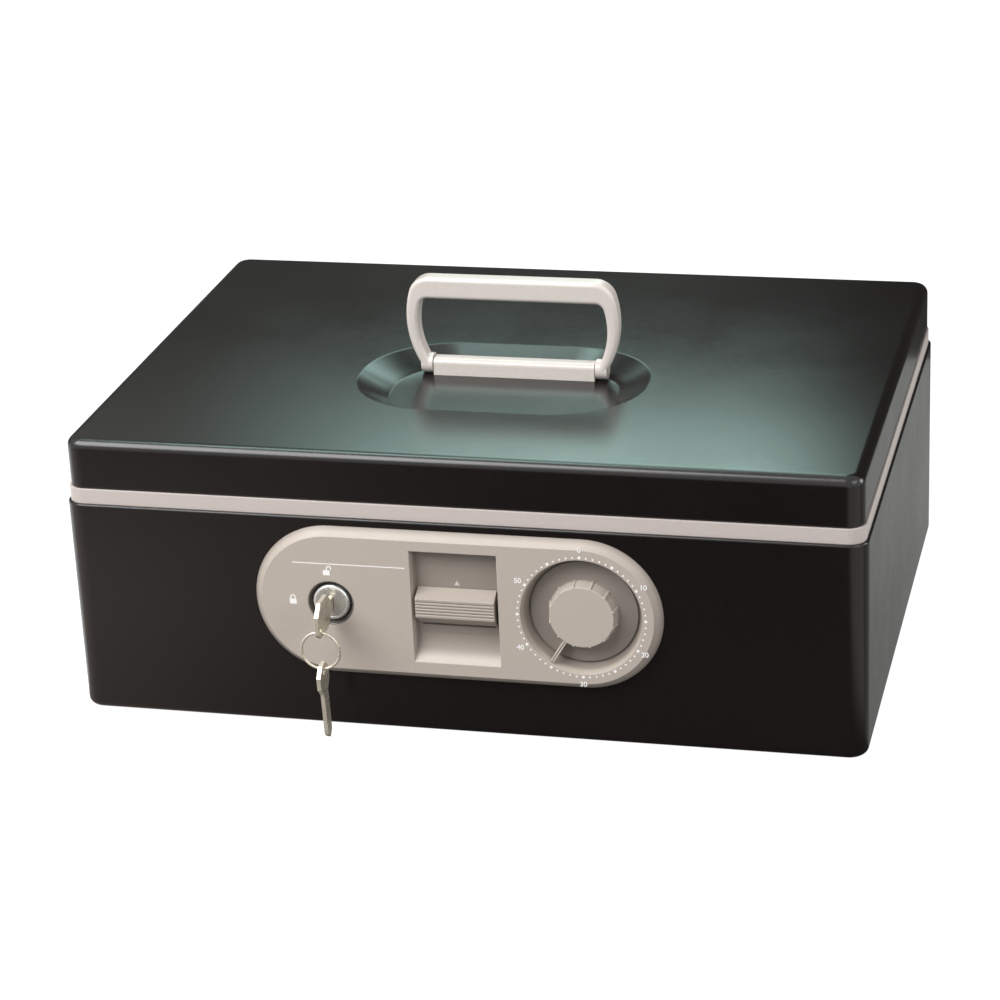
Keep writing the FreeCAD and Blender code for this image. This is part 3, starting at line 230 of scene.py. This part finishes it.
def add_node(tree, kind, inputs=None, **settings):
    """A node with its settings and constant inputs."""
    node = tree.nodes.new(kind)
    for name, value in settings.items():
        setattr(node, name, value)
    for name, value in (inputs or {}).items():
        node.inputs[name].default_value = value
    return node


def stretched_place(tree, stretch):
    """Object coordinates, scaled differently along each axis."""
    place = add_node(tree, "ShaderNodeTexCoord")
    scale = add_node(tree, "ShaderNodeMapping", {"Scale": stretch})
    tree.links.new(place.outputs["Object"], scale.inputs["Vector"])
    return scale.outputs["Vector"]


def object_axes(tree):
    """The object coordinates X, Y and Z, each by itself."""
    place = add_node(tree, "ShaderNodeTexCoord")
    axes = add_node(tree, "ShaderNodeSeparateXYZ")
    tree.links.new(place.outputs["Object"], axes.inputs["Vector"])
    return axes.outputs


def noise(tree, scale, detail=3.0, stretch=(1.0, 1.0, 1.0)):
    """Noise in object space, with its scale in cycles per metre."""
    texture = add_node(tree, "ShaderNodeTexNoise", {"Scale": scale, "Detail": detail})
    tree.links.new(stretched_place(tree, stretch), texture.inputs["Vector"])
    return texture.outputs["Fac"]


def spread(tree, value, low, high, band=0.3):
    """Maps the middle band of a noise to the range from low to high."""
    node = add_node(tree, "ShaderNodeMapRange", {"From Min": 0.5 - band / 2, "From Max": 0.5 + band / 2,
                                                 "To Min": low, "To Max": high})
    tree.links.new(value, node.inputs["Value"])
    return node.outputs["Result"]


def smooth_step(tree, value, span, first, second):
    """A smooth change from one level to another over a span of the value."""
    node = add_node(tree, "ShaderNodeMapRange", {"From Min": span[0], "From Max": span[1],
                                                 "To Min": first, "To Max": second},
                    interpolation_type="SMOOTHSTEP")
    tree.links.new(value, node.inputs["Value"])
    return node.outputs["Result"]


def combine(tree, operation, first, second):
    """Adds or multiplies two values, or takes the larger one."""
    node = add_node(tree, "ShaderNodeMath", operation=operation)
    tree.links.new(first, node.inputs[0])
    tree.links.new(second, node.inputs[1])
    return node.outputs["Value"]


def colour_mix(tree, factor):
    """A mix of two colours, steered by a value from 0 to 1."""
    mix = add_node(tree, "ShaderNodeMix", data_type="RGBA")
    tree.links.new(factor, mix.inputs["Factor"])
    return mix


def two_tone(tree, value, first, second):
    """Mixes two fixed colours by a value from 0 to 1."""
    mix = colour_mix(tree, value)
    mix.inputs[mix_first].default_value = (*first, 1.0)
    mix.inputs[mix_second].default_value = (*second, 1.0)
    return mix.outputs[mix_result]


def turned_to(tree, factor, colour, second):
    """Turns a colour that varies into a second fixed one by a value from 0 to 1."""
    mix = colour_mix(tree, factor)
    tree.links.new(colour, mix.inputs[mix_first])
    mix.inputs[mix_second].default_value = (*second, 1.0)
    return mix.outputs[mix_result]


def soft_edges(tree, radius):
    """A normal that rounds hard edges by a small radius."""
    return add_node(tree, "ShaderNodeBevel", {"Radius": radius}, samples=edge_samples).outputs["Normal"]


def edge_mask(tree, radius):
    """Near one along hard edges and zero on flat faces."""
    face = add_node(tree, "ShaderNodeNewGeometry")
    turn = add_node(tree, "ShaderNodeVectorMath", operation="DOT_PRODUCT")
    tree.links.new(face.outputs["Normal"], turn.inputs[0])
    tree.links.new(soft_edges(tree, radius), turn.inputs[1])
    mask = add_node(tree, "ShaderNodeMapRange", {"From Min": flat_agreement, "From Max": lightened_edge_agreement})
    tree.links.new(turn.outputs["Value"], mask.inputs["Value"])
    return mask.outputs["Result"]


def bump(tree, height, depth, normal, strength=1.0):
    """Raises the surface by a height field of the given depth."""
    node = add_node(tree, "ShaderNodeBump", {"Strength": strength, "Distance": depth})
    tree.links.new(height, node.inputs["Height"])
    tree.links.new(normal, node.inputs["Normal"])
    return node.outputs["Normal"]


# Finishes that several materials share


def grained_finish(name, first, second, edge_wear_and_highlight, rough, grain, depth, edge):
    """A moulded or painted finish: mottled colour, edges lightened partly by wear and partly as painted
    highlight, uneven roughness and a fine grain.
    """
    material, tree, shader = start_material(name)
    mottle = spread(tree, noise(tree, grain / mottle_grains, grain_detail), 0.0, 1.0, mottle_band)
    # Painted highlight and wear: hard edges are lightened towards the edge colour
    colour = turned_to(tree, edge_mask(tree, edge), two_tone(tree, mottle, first, second), edge_wear_and_highlight)
    tree.links.new(colour, shader.inputs["Base Color"])
    fine = spread(tree, noise(tree, grain / gloss_grains), rough[0], rough[1], gloss_band)
    broad = spread(tree, noise(tree, cloud_scale, cloud_detail), -cloud_depth, cloud_depth, cloud_band)
    tree.links.new(combine(tree, "ADD", fine, broad), shader.inputs["Roughness"])
    normal = bump(tree, noise(tree, grain, grain_detail), depth, soft_edges(tree, edge))
    tree.links.new(normal, shader.inputs["Normal"])
    return material


def metal_finish(name, first, second, rough, stretch, edge, metallic=1.0):
    """A bare or plated metal with fine drawn lines and dull patches."""
    material, tree, shader = start_material(name)
    shader.inputs["Metallic"].default_value = metallic
    patches = spread(tree, noise(tree, patch_scale), 0.0, 1.0)
    tree.links.new(two_tone(tree, patches, first, second), shader.inputs["Base Color"])
    lines = noise(tree, line_scale, line_detail, stretch)
    tree.links.new(spread(tree, lines, rough[0], rough[1]), shader.inputs["Roughness"])
    normal = bump(tree, lines, line_depth, soft_edges(tree, edge), line_strength)
    tree.links.new(normal, shader.inputs["Normal"])
    return material


def deepen(material, span, colour):
    """Paints shade into a finish: turns it to a second, darker colour over a span of depth along the y axis.
    """
    tree = material.node_tree
    base = tree.nodes["Principled BSDF"].inputs["Base Color"]
    depth = smooth_step(tree, object_axes(tree)["Y"], span, 0.0, 1.0)
    tree.links.new(turned_to(tree, depth, base.links[0].from_socket, colour), base)


# Materials


def black_paint():
    """Satin brown-black stove enamel with a fine grain."""
    return grained_finish("black_paint", first=(0.0055, 0.0042, 0.0038), second=(0.0085, 0.0066, 0.0060),
                          edge_wear_and_highlight=(0.016, 0.012, 0.010), rough=(0.19, 0.24),
                          grain=1500.0, depth=0.0000012, edge=0.0012)


def trim_plastic():
    """The light band between body and lid."""
    return grained_finish("trim_plastic", first=(0.54, 0.475, 0.445), second=(0.565, 0.50, 0.47),
                          edge_wear_and_highlight=(0.63, 0.57, 0.54), rough=(0.32, 0.42),
                          grain=1800.0, depth=0.000008, edge=0.0006)


def handle_plastic():
    """The glossy pinkish white of the handle and its bar."""
    return grained_finish("handle_plastic", first=(0.66, 0.605, 0.56), second=(0.70, 0.645, 0.60),
                          edge_wear_and_highlight=(0.76, 0.71, 0.67), rough=(0.16, 0.24),
                          grain=1200.0, depth=0.000004, edge=0.0005)


def panel_plastic():
    """Warm grey moulded plastic with a fine spark texture, and painted shade that makes it a little darker
    inside its recesses.
    """
    material = grained_finish("panel_plastic", first=(0.460, 0.400, 0.350), second=(0.490, 0.428, 0.375),
                              edge_wear_and_highlight=(0.66, 0.60, 0.55), rough=(0.40, 0.52),
                              grain=2600.0, depth=0.000012, edge=0.0004)
    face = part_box("control_panel")[0].y
    # Painted shade: the plastic turns darker with depth inside the recesses
    deepen(material, (face + recess_shade_start, face + recess_shade_full), recess_shade_colour)
    return material


def button_plastic():
    """The slide button's slightly darker plastic."""
    return grained_finish("button_plastic", first=(0.395, 0.343, 0.300), second=(0.420, 0.367, 0.322),
                          edge_wear_and_highlight=(0.60, 0.54, 0.49), rough=(0.40, 0.52),
                          grain=2600.0, depth=0.000012, edge=0.0004)


def dial_plastic():
    """The panel's plastic, with painted shade that turns the flank behind the knob a darker taupe, and a
    painted highlight on the knob's rims.
    """
    material = grained_finish("dial_plastic", first=(0.475, 0.414, 0.360), second=(0.495, 0.433, 0.378),
                              edge_wear_and_highlight=(0.74, 0.68, 0.62), rough=(0.40, 0.52),
                              grain=2600.0, depth=0.000008, edge=0.0006)
    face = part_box("dial_knob")[0].y
    # Painted shade: the flank behind the knob turns a darker taupe with depth
    deepen(material, (face + flank_shade_start, face + flank_shade_full), flank_shade_colour)
    return material


def tray_plastic():
    """Dark moulded plastic of the coin tray."""
    return grained_finish("tray_plastic", first=(0.035, 0.035, 0.038), second=(0.05, 0.05, 0.054),
                          edge_wear_and_highlight=(0.08, 0.08, 0.085), rough=(0.45, 0.6),
                          grain=1600.0, depth=0.00003, edge=0.0006)


def panel_ink():
    """White printing ink."""
    return grained_finish("panel_ink", first=(0.90, 0.89, 0.88), second=(0.96, 0.95, 0.94),
                          edge_wear_and_highlight=(0.96, 0.95, 0.94), rough=(0.4, 0.5),
                          grain=3000.0, depth=0.000003, edge=0.00002)


def arrow_plastic():
    """The rubbed pale top of the moulded arrow."""
    return grained_finish("arrow_plastic", first=(0.60, 0.54, 0.49), second=(0.66, 0.60, 0.55),
                          edge_wear_and_highlight=(0.74, 0.69, 0.64), rough=(0.40, 0.52),
                          grain=2600.0, depth=0.00001, edge=0.0002)


def dark_ring():
    """Dark satin ring round the lock, paler at its rims, partly from wear and partly as a painted highlight.
    """
    return grained_finish("dark_ring", first=(0.075, 0.065, 0.058), second=(0.100, 0.088, 0.080),
                          edge_wear_and_highlight=(0.34, 0.31, 0.285), rough=(0.24, 0.34),
                          grain=2400.0, depth=0.000004, edge=0.0007)


def plug_steel():
    """Dull face of the turning lock plug."""
    return metal_finish("plug_steel", first=(0.50, 0.48, 0.44), second=(0.62, 0.60, 0.56), rough=(0.28, 0.42),
                        stretch=(1.0, 1.0, 1.0), edge=0.0002, metallic=0.7)


def chrome():
    """Bright plating of the lock barrel."""
    return metal_finish("chrome", first=(0.78, 0.77, 0.75), second=(0.86, 0.85, 0.83), rough=(0.18, 0.32),
                        stretch=(1.0, 1.0, 1.0), edge=0.0003, metallic=0.7)


def key_nickel():
    """Nickel plate on keys and ring, a little brassy in patches."""
    return metal_finish("key_nickel", first=(0.68, 0.62, 0.49), second=(0.79, 0.74, 0.63), rough=(0.24, 0.40),
                        stretch=(1.0, 0.2, 1.0), edge=0.0002, metallic=0.6)


def zinc_steel():
    """Zinc plated steel of the hidden lock parts."""
    return metal_finish("zinc_steel", first=(0.50, 0.51, 0.51), second=(0.60, 0.60, 0.58), rough=(0.44, 0.60),
                        stretch=(0.2, 1.0, 1.0), edge=0.0003)


def spring_steel():
    """Bright spring steel."""
    return metal_finish("spring_steel", first=(0.40, 0.40, 0.42), second=(0.52, 0.52, 0.54),
                        rough=(0.22, 0.36), stretch=(1.0, 1.0, 0.2), edge=0.0001)


def brass():
    """Machined brass."""
    return metal_finish("brass", first=(0.64, 0.46, 0.20), second=(0.74, 0.58, 0.30), rough=(0.20, 0.36),
                        stretch=(1.0, 0.2, 1.0), edge=0.0002)


def dress_nodes():
    """Gives each CAD node the finish of its material slot, and three nodes a finish of their own."""
    makers = (black_paint, trim_plastic, handle_plastic, panel_plastic, tray_plastic, dark_ring, chrome,
              key_nickel, zinc_steel, spring_steel, brass)
    finishes = {maker.__name__: maker() for maker in makers}
    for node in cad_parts.values():
        for slot in node.material_slots:
            slot.material = finishes[slot.material.name.split(".")[0]]
    own_makers = {"dial_knob": dial_plastic, "slide_button": button_plastic, "lock_plug": plug_steel}
    for name, maker in own_makers.items():
        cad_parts[name].material_slots[0].material = maker()


# Marks printed or moulded on the panel


def add_piece(name, mesh_builder, material, body):
    """Makes a mesh piece that rides on a body."""
    mesh = bpy.data.meshes.new(name)
    work = bmesh.new()
    mesh_builder(work)
    bmesh.ops.recalc_face_normals(work, faces=work.faces)
    work.to_mesh(mesh)
    work.free()
    mesh.materials.append(material)
    piece = bpy.data.objects.new(name, mesh)
    bpy.context.scene.collection.objects.link(piece)
    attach(piece, body)


def panel_front():
    """The plane of the panel's face."""
    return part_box("control_panel")[0].y


def add_print(work, outline):
    """A thin slab of ink on the panel's face from its outline in x and z."""
    front = panel_front()
    near = [work.verts.new((x, front - ink_rise, z)) for x, z in outline]
    far = [work.verts.new((x, front + ink_sink, z)) for x, z in outline]
    work.faces.new(near)
    work.faces.new(far[::-1])
    count = len(outline)
    for index in range(count):
        following = (index + 1) % count
        work.faces.new((near[index], far[index], far[following], near[following]))


def disc_outline(x, z, radius):
    """A round outline."""
    steps = [2 * math.pi * side / dot_sides for side in range(dot_sides)]
    return [(x + radius * math.cos(step), z + radius * math.sin(step)) for step in steps]


def box_outline(left, right, bottom, top):
    """A rectangular outline."""
    return [(left, bottom), (right, bottom), (right, top), (left, top)]


def on_dial(radius, mark):
    """The place of a mark on the dial's scale, clockwise from the top."""
    low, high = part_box("dial_knob")
    angle = 2 * math.pi * mark / dot_count
    x = (low.x + high.x) / 2 + radius * math.sin(angle)
    z = (low.z + high.z) / 2 + radius * math.cos(angle)
    return x, z


def dial_dots(ink):
    """The ring of dots round the dial, larger at every fifth."""
    def build(work):
        for mark in range(dot_count):
            radius = small_dot if mark % dots_per_large_dot else large_dot
            x, z = on_dial(dot_circle, mark)
            add_print(work, disc_outline(x, z, radius))

    add_piece("dial_dots", build, ink, "body")


def dial_numbers(ink):
    """The numbers at every tenth dot."""
    for mark in range(0, dot_count, dots_per_number):
        text = bpy.data.curves.new(f"dial_number_{mark}", "FONT")
        text.body = str(mark)
        text.size = number_size
        text.align_x = "CENTER"
        text.align_y = "CENTER"
        text.extrude = ink_rise
        text.offset = number_weight
        text.materials.append(ink)
        number = bpy.data.objects.new(f"dial_number_{mark}", text)
        x, z = on_dial(number_circle, mark)
        turn = Matrix.Rotation(math.pi / 2, 4, "X")
        number.matrix_world = Matrix.Translation((x, panel_front(), z)) @ turn
        bpy.context.scene.collection.objects.link(number)
        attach(number, "body")


def panel_rule(ink):
    """A thin straight rule above the lock."""
    low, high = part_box("control_panel")
    z = (low.z + high.z) / 2 + rule_height
    half = rule_thickness / 2
    outline = box_outline(rule_left, rule_right, z - half, z + half)
    add_piece("panel_rule", lambda work: add_print(work, outline), ink, "body")


def bow_outline(x, z, turned):
    """The bow of a padlock sign, standing straight or swung open."""
    outer = symbol_width * bow_radius
    inner = outer - symbol_line
    rise = symbol_body * bow_leg
    end = rise * bow_short_leg if turned else 0.0
    shift = symbol_width * bow_swing if turned else 0.0
    steps = [math.pi * step / bow_steps for step in range(bow_steps + 1)]
    points = [(outer * math.cos(step), rise + outer * math.sin(step)) for step in steps]
    points += [(-outer, 0.0), (-inner, 0.0)]
    points += [(inner * math.cos(step), rise + inner * math.sin(step)) for step in steps[::-1]]
    points += [(inner, end), (outer, end)]
    return [(x + shift + across, z + up) for across, up in points]


def padlock_mark(name, offset, turned, ink):
    """A plain padlock sign that shows a key position."""
    low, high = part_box("lock_bezel")
    x = (low.x + high.x) / 2 + offset[0]
    z = (low.z + high.z) / 2 + offset[1]
    half = symbol_width / 2
    top = z + symbol_body / 2
    block = box_outline(x - half, x + half, z - symbol_body / 2, top)

    def build(work):
        add_print(work, block)
        add_print(work, bow_outline(x, top, turned))

    add_piece(name, build, ink, "body")


def slide_arrow(plastic):
    """The small raised arrow on the window floor above the button."""
    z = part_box("slide_button")[1].z + arrow_gap
    half = arrow_width / 2
    inner = half * arrow_top_width
    foot = z + arrow_top_foot * arrow_height
    base_outline = ((-half, z), (half, z), (0.0, z + arrow_height))
    top_outline = ((-inner, foot), (inner, foot), (0.0, z + arrow_top_tip * arrow_height))

    def build(work):
        base = [work.verts.new((x, button_window_floor + ink_sink, height)) for x, height in base_outline]
        top = [work.verts.new((x, button_window_floor - arrow_rise, height)) for x, height in top_outline]
        work.faces.new(top)
        work.faces.new(base[::-1])
        count = len(base)
        for index in range(count):
            following = (index + 1) % count
            work.faces.new((base[index], base[following], top[following], top[index]))

    add_piece("slide_arrow", build, plastic, "body")


def dress_panel():
    """Everything printed or moulded on the panel."""
    ink = panel_ink()
    dial_dots(ink)
    dial_numbers(ink)
    panel_rule(ink)
    padlock_mark("open_mark", open_symbol, True, ink)
    padlock_mark("locked_mark", locked_symbol, False, ink)
    slide_arrow(arrow_plastic())


# Springs copied from their nodes


def flexing_spring(node, name):
    """A copy of a spring that stands for its node and rides on the body."""
    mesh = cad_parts[node].data.copy()
    mesh.name = name
    piece = bpy.data.objects.new(name, mesh)
    bpy.context.scene.collection.objects.link(piece)
    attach(piece, "body")
    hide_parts(node)
    return piece


def add_springs():
    """Copies of the return springs and the catch spring, each with a mesh of its own."""
    coils = flexing_spring("slide_return_springs", "return_coils")
    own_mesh(coils)
    catch = flexing_spring("catch_spring", "catch_strip")
    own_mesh(catch)


# Camera, floor and light


def add_camera():
    """The camera at the photo's viewpoint."""
    azimuth = math.radians(camera_azimuth)
    elevation = math.radians(camera_elevation)
    roll = math.radians(camera_roll)
    forward = -Vector((math.sin(azimuth) * math.cos(elevation), -math.cos(azimuth) * math.cos(elevation),
                       math.sin(elevation)))
    level_right = forward.cross(Vector((0, 0, 1))).normalized()
    level_down = forward.cross(level_right)
    right = level_right * math.cos(roll) - level_down * math.sin(roll)
    up = -(level_right * math.sin(roll) + level_down * math.cos(roll))
    turn = Matrix((right, up, -forward)).transposed().to_4x4()
    data = bpy.data.cameras.new("camera")
    data.sensor_width = sensor_width
    data.lens = focal_in_pixels / picture_pixels * sensor_width
    data.clip_start = camera_clip
    camera = bpy.data.objects.new("camera", data)
    camera.matrix_world = Matrix.Translation(camera_place) @ turn
    bpy.context.scene.collection.objects.link(camera)
    bpy.context.scene.camera = camera


def seen_directly(tree):
    """One for rays from the camera and for reflected or transmitted ones, zero for light on matt surfaces."""
    path = add_node(tree, "ShaderNodeLightPath")
    total = path.outputs["Is Camera Ray"]
    for name in ("Is Glossy Ray", "Is Transmission Ray"):
        total = combine(tree, "MAXIMUM", total, path.outputs[name])
    return total


def set_world():
    """A white surround with soft fill light."""
    world = bpy.data.worlds.new("studio")
    bpy.context.scene.world = world
    world.use_nodes = True
    tree = world.node_tree
    background = tree.nodes["Background"]
    background.inputs["Color"].default_value = white
    strength = add_node(tree, "ShaderNodeMapRange", {"To Min": world_fill, "To Max": 1.0})
    tree.links.new(seen_directly(tree), strength.inputs["Value"])
    tree.links.new(strength.outputs["Result"], background.inputs["Strength"])


def flat_card(name, corners, material):
    """A four-cornered stage card."""
    mesh = bpy.data.meshes.new(name)
    mesh.from_pydata(corners, [], [(0, 1, 2, 3)])
    mesh.materials.append(material)
    card = bpy.data.objects.new(name, mesh)
    bpy.context.scene.collection.objects.link(card)
    return card


def level_corners(left, right, near, far, z):
    """The corners of a level card."""
    return [(left, near, z), (right, near, z), (right, far, z), (left, far, z)]


def add_floor():
    """A white floor that keeps a soft shadow."""
    material, tree, shader = start_material("floor_white")
    shader.inputs["Base Color"].default_value = (floor_shade, floor_shade, floor_shade, 1.0)
    shader.inputs["Roughness"].default_value = 1.0
    shader.inputs["Specular IOR Level"].default_value = 0.0
    shader.inputs["Emission Color"].default_value = white
    glow = add_node(tree, "ShaderNodeMapRange", {"To Min": 0.0, "To Max": floor_glow})
    tree.links.new(seen_directly(tree), glow.inputs["Value"])
    tree.links.new(glow.outputs["Result"], shader.inputs["Emission Strength"])
    flat_card("floor", level_corners(-floor_half, floor_half, -floor_half, floor_half, -floor_drop), material)


def glossy_only(card):
    """Lets a card show only in glossy surfaces."""
    card.visible_camera = False
    card.visible_diffuse = False
    card.visible_shadow = False
    card.visible_transmission = False


def glow_material(name, colour):
    """A plain glowing surface."""
    material, tree, shader = start_material(name)
    shader.inputs["Base Color"].default_value = black
    shader.inputs["Specular IOR Level"].default_value = 0.0
    shader.inputs["Emission Color"].default_value = (*colour, 1.0)
    return material, tree, shader


def back_wall():
    """The wall behind, dim at the sides with a soft teal window that the lid mirrors."""
    material, tree, shader = glow_material("back_wall", wall_colour)
    place = object_axes(tree)
    window = combine(tree, "MULTIPLY", smooth_step(tree, place["X"], window_left_fade, window_left, 1.0),
                     smooth_step(tree, place["X"], window_right_fade, 1.0, 0.0))
    window = combine(tree, "MULTIPLY", window, smooth_step(tree, place["Z"], window_foot_fade, 0.0, 1.0))
    tint = smooth_step(tree, window, (0.0, window_tint_full), 0.0, 1.0)
    tree.links.new(two_tone(tree, tint, wall_colour, window_colour), shader.inputs["Emission Color"])
    glow = add_node(tree, "ShaderNodeMath", operation="MULTIPLY")
    tree.links.new(window, glow.inputs[0])
    glow.inputs[1].default_value = window_glow
    dim = smooth_step(tree, place["X"], wall_fade, wall_left, wall_right)
    tree.links.new(combine(tree, "ADD", glow.outputs["Value"], dim), shader.inputs["Emission Strength"])
    corners = [(-wall_half, wall_distance, 0.0), (wall_half, wall_distance, 0.0),
               (wall_half, wall_distance, wall_top), (-wall_half, wall_distance, wall_top)]
    glossy_only(flat_card("back_wall", corners, material))


def front_floor():
    """The floor in front that the front mirrors, lighter near the left corner and beyond the right one."""
    material, tree, shader = glow_material("front_floor", front_colour)
    place = object_axes(tree)
    left = combine(tree, "MULTIPLY", smooth_step(tree, place["X"], front_left_fade, front_left, 0.0),
                   smooth_step(tree, place["Y"], front_left_depth, front_left_far, 1.0))
    plain = smooth_step(tree, place["Y"], front_fade, front_far, front_near)
    corner = smooth_step(tree, place["X"], front_corner_fade, 0.0, front_corner)
    total = combine(tree, "ADD", combine(tree, "ADD", left, plain), corner)
    tree.links.new(total, shader.inputs["Emission Strength"])
    corners = level_corners(-front_half, front_half, front_edge, card_join, card_height)
    glossy_only(flat_card("front_floor", corners, material))


def side_floor():
    """The floor on the right, darker near the front, that the side mirrors."""
    material, tree, shader = glow_material("side_floor", side_colour)
    strength = smooth_step(tree, object_axes(tree)["Y"], side_fade, side_near, side_far)
    tree.links.new(strength, shader.inputs["Emission Strength"])
    corners = level_corners(side_start, side_end, card_join, wall_distance, card_height)
    glossy_only(flat_card("side_floor", corners, material))


def ceiling():
    """An evenly lit teal card overhead, to the left of the object."""
    material, _, shader = glow_material("ceiling", window_colour)
    shader.inputs["Emission Strength"].default_value = ceiling_glow
    corners = level_corners(ceiling_left, ceiling_right, ceiling_near, ceiling_far, ceiling_height)
    glossy_only(flat_card("ceiling", corners, material))


def softbox(name, place, width, height, power):
    """A rectangular soft light aimed at the object."""
    data = bpy.data.lights.new(name, "AREA")
    data.shape = "RECTANGLE"
    data.size = width
    data.size_y = height
    data.energy = power
    lamp = bpy.data.objects.new(name, data)
    away = (Vector(place) - aim_point).to_track_quat("Z", "Y")
    lamp.matrix_world = Matrix.Translation(place) @ away.to_matrix().to_4x4()
    lamp.visible_camera = False
    bpy.context.scene.collection.objects.link(lamp)


def add_studio():
    """Floor, surround, lamps and reflection cards."""
    set_world()
    add_floor()
    softbox("key", key_place, key_width, key_height, key_power)
    softbox("fill", fill_place, fill_width, fill_width, fill_power)
    softbox("right", right_place, right_width, right_width, right_power)
    back_wall()
    front_floor()
    side_floor()
    ceiling()


bpy.context.scene.view_settings.view_transform = "Standard"
add_camera()
add_studio()
dress_nodes()
dress_panel()
add_springs()
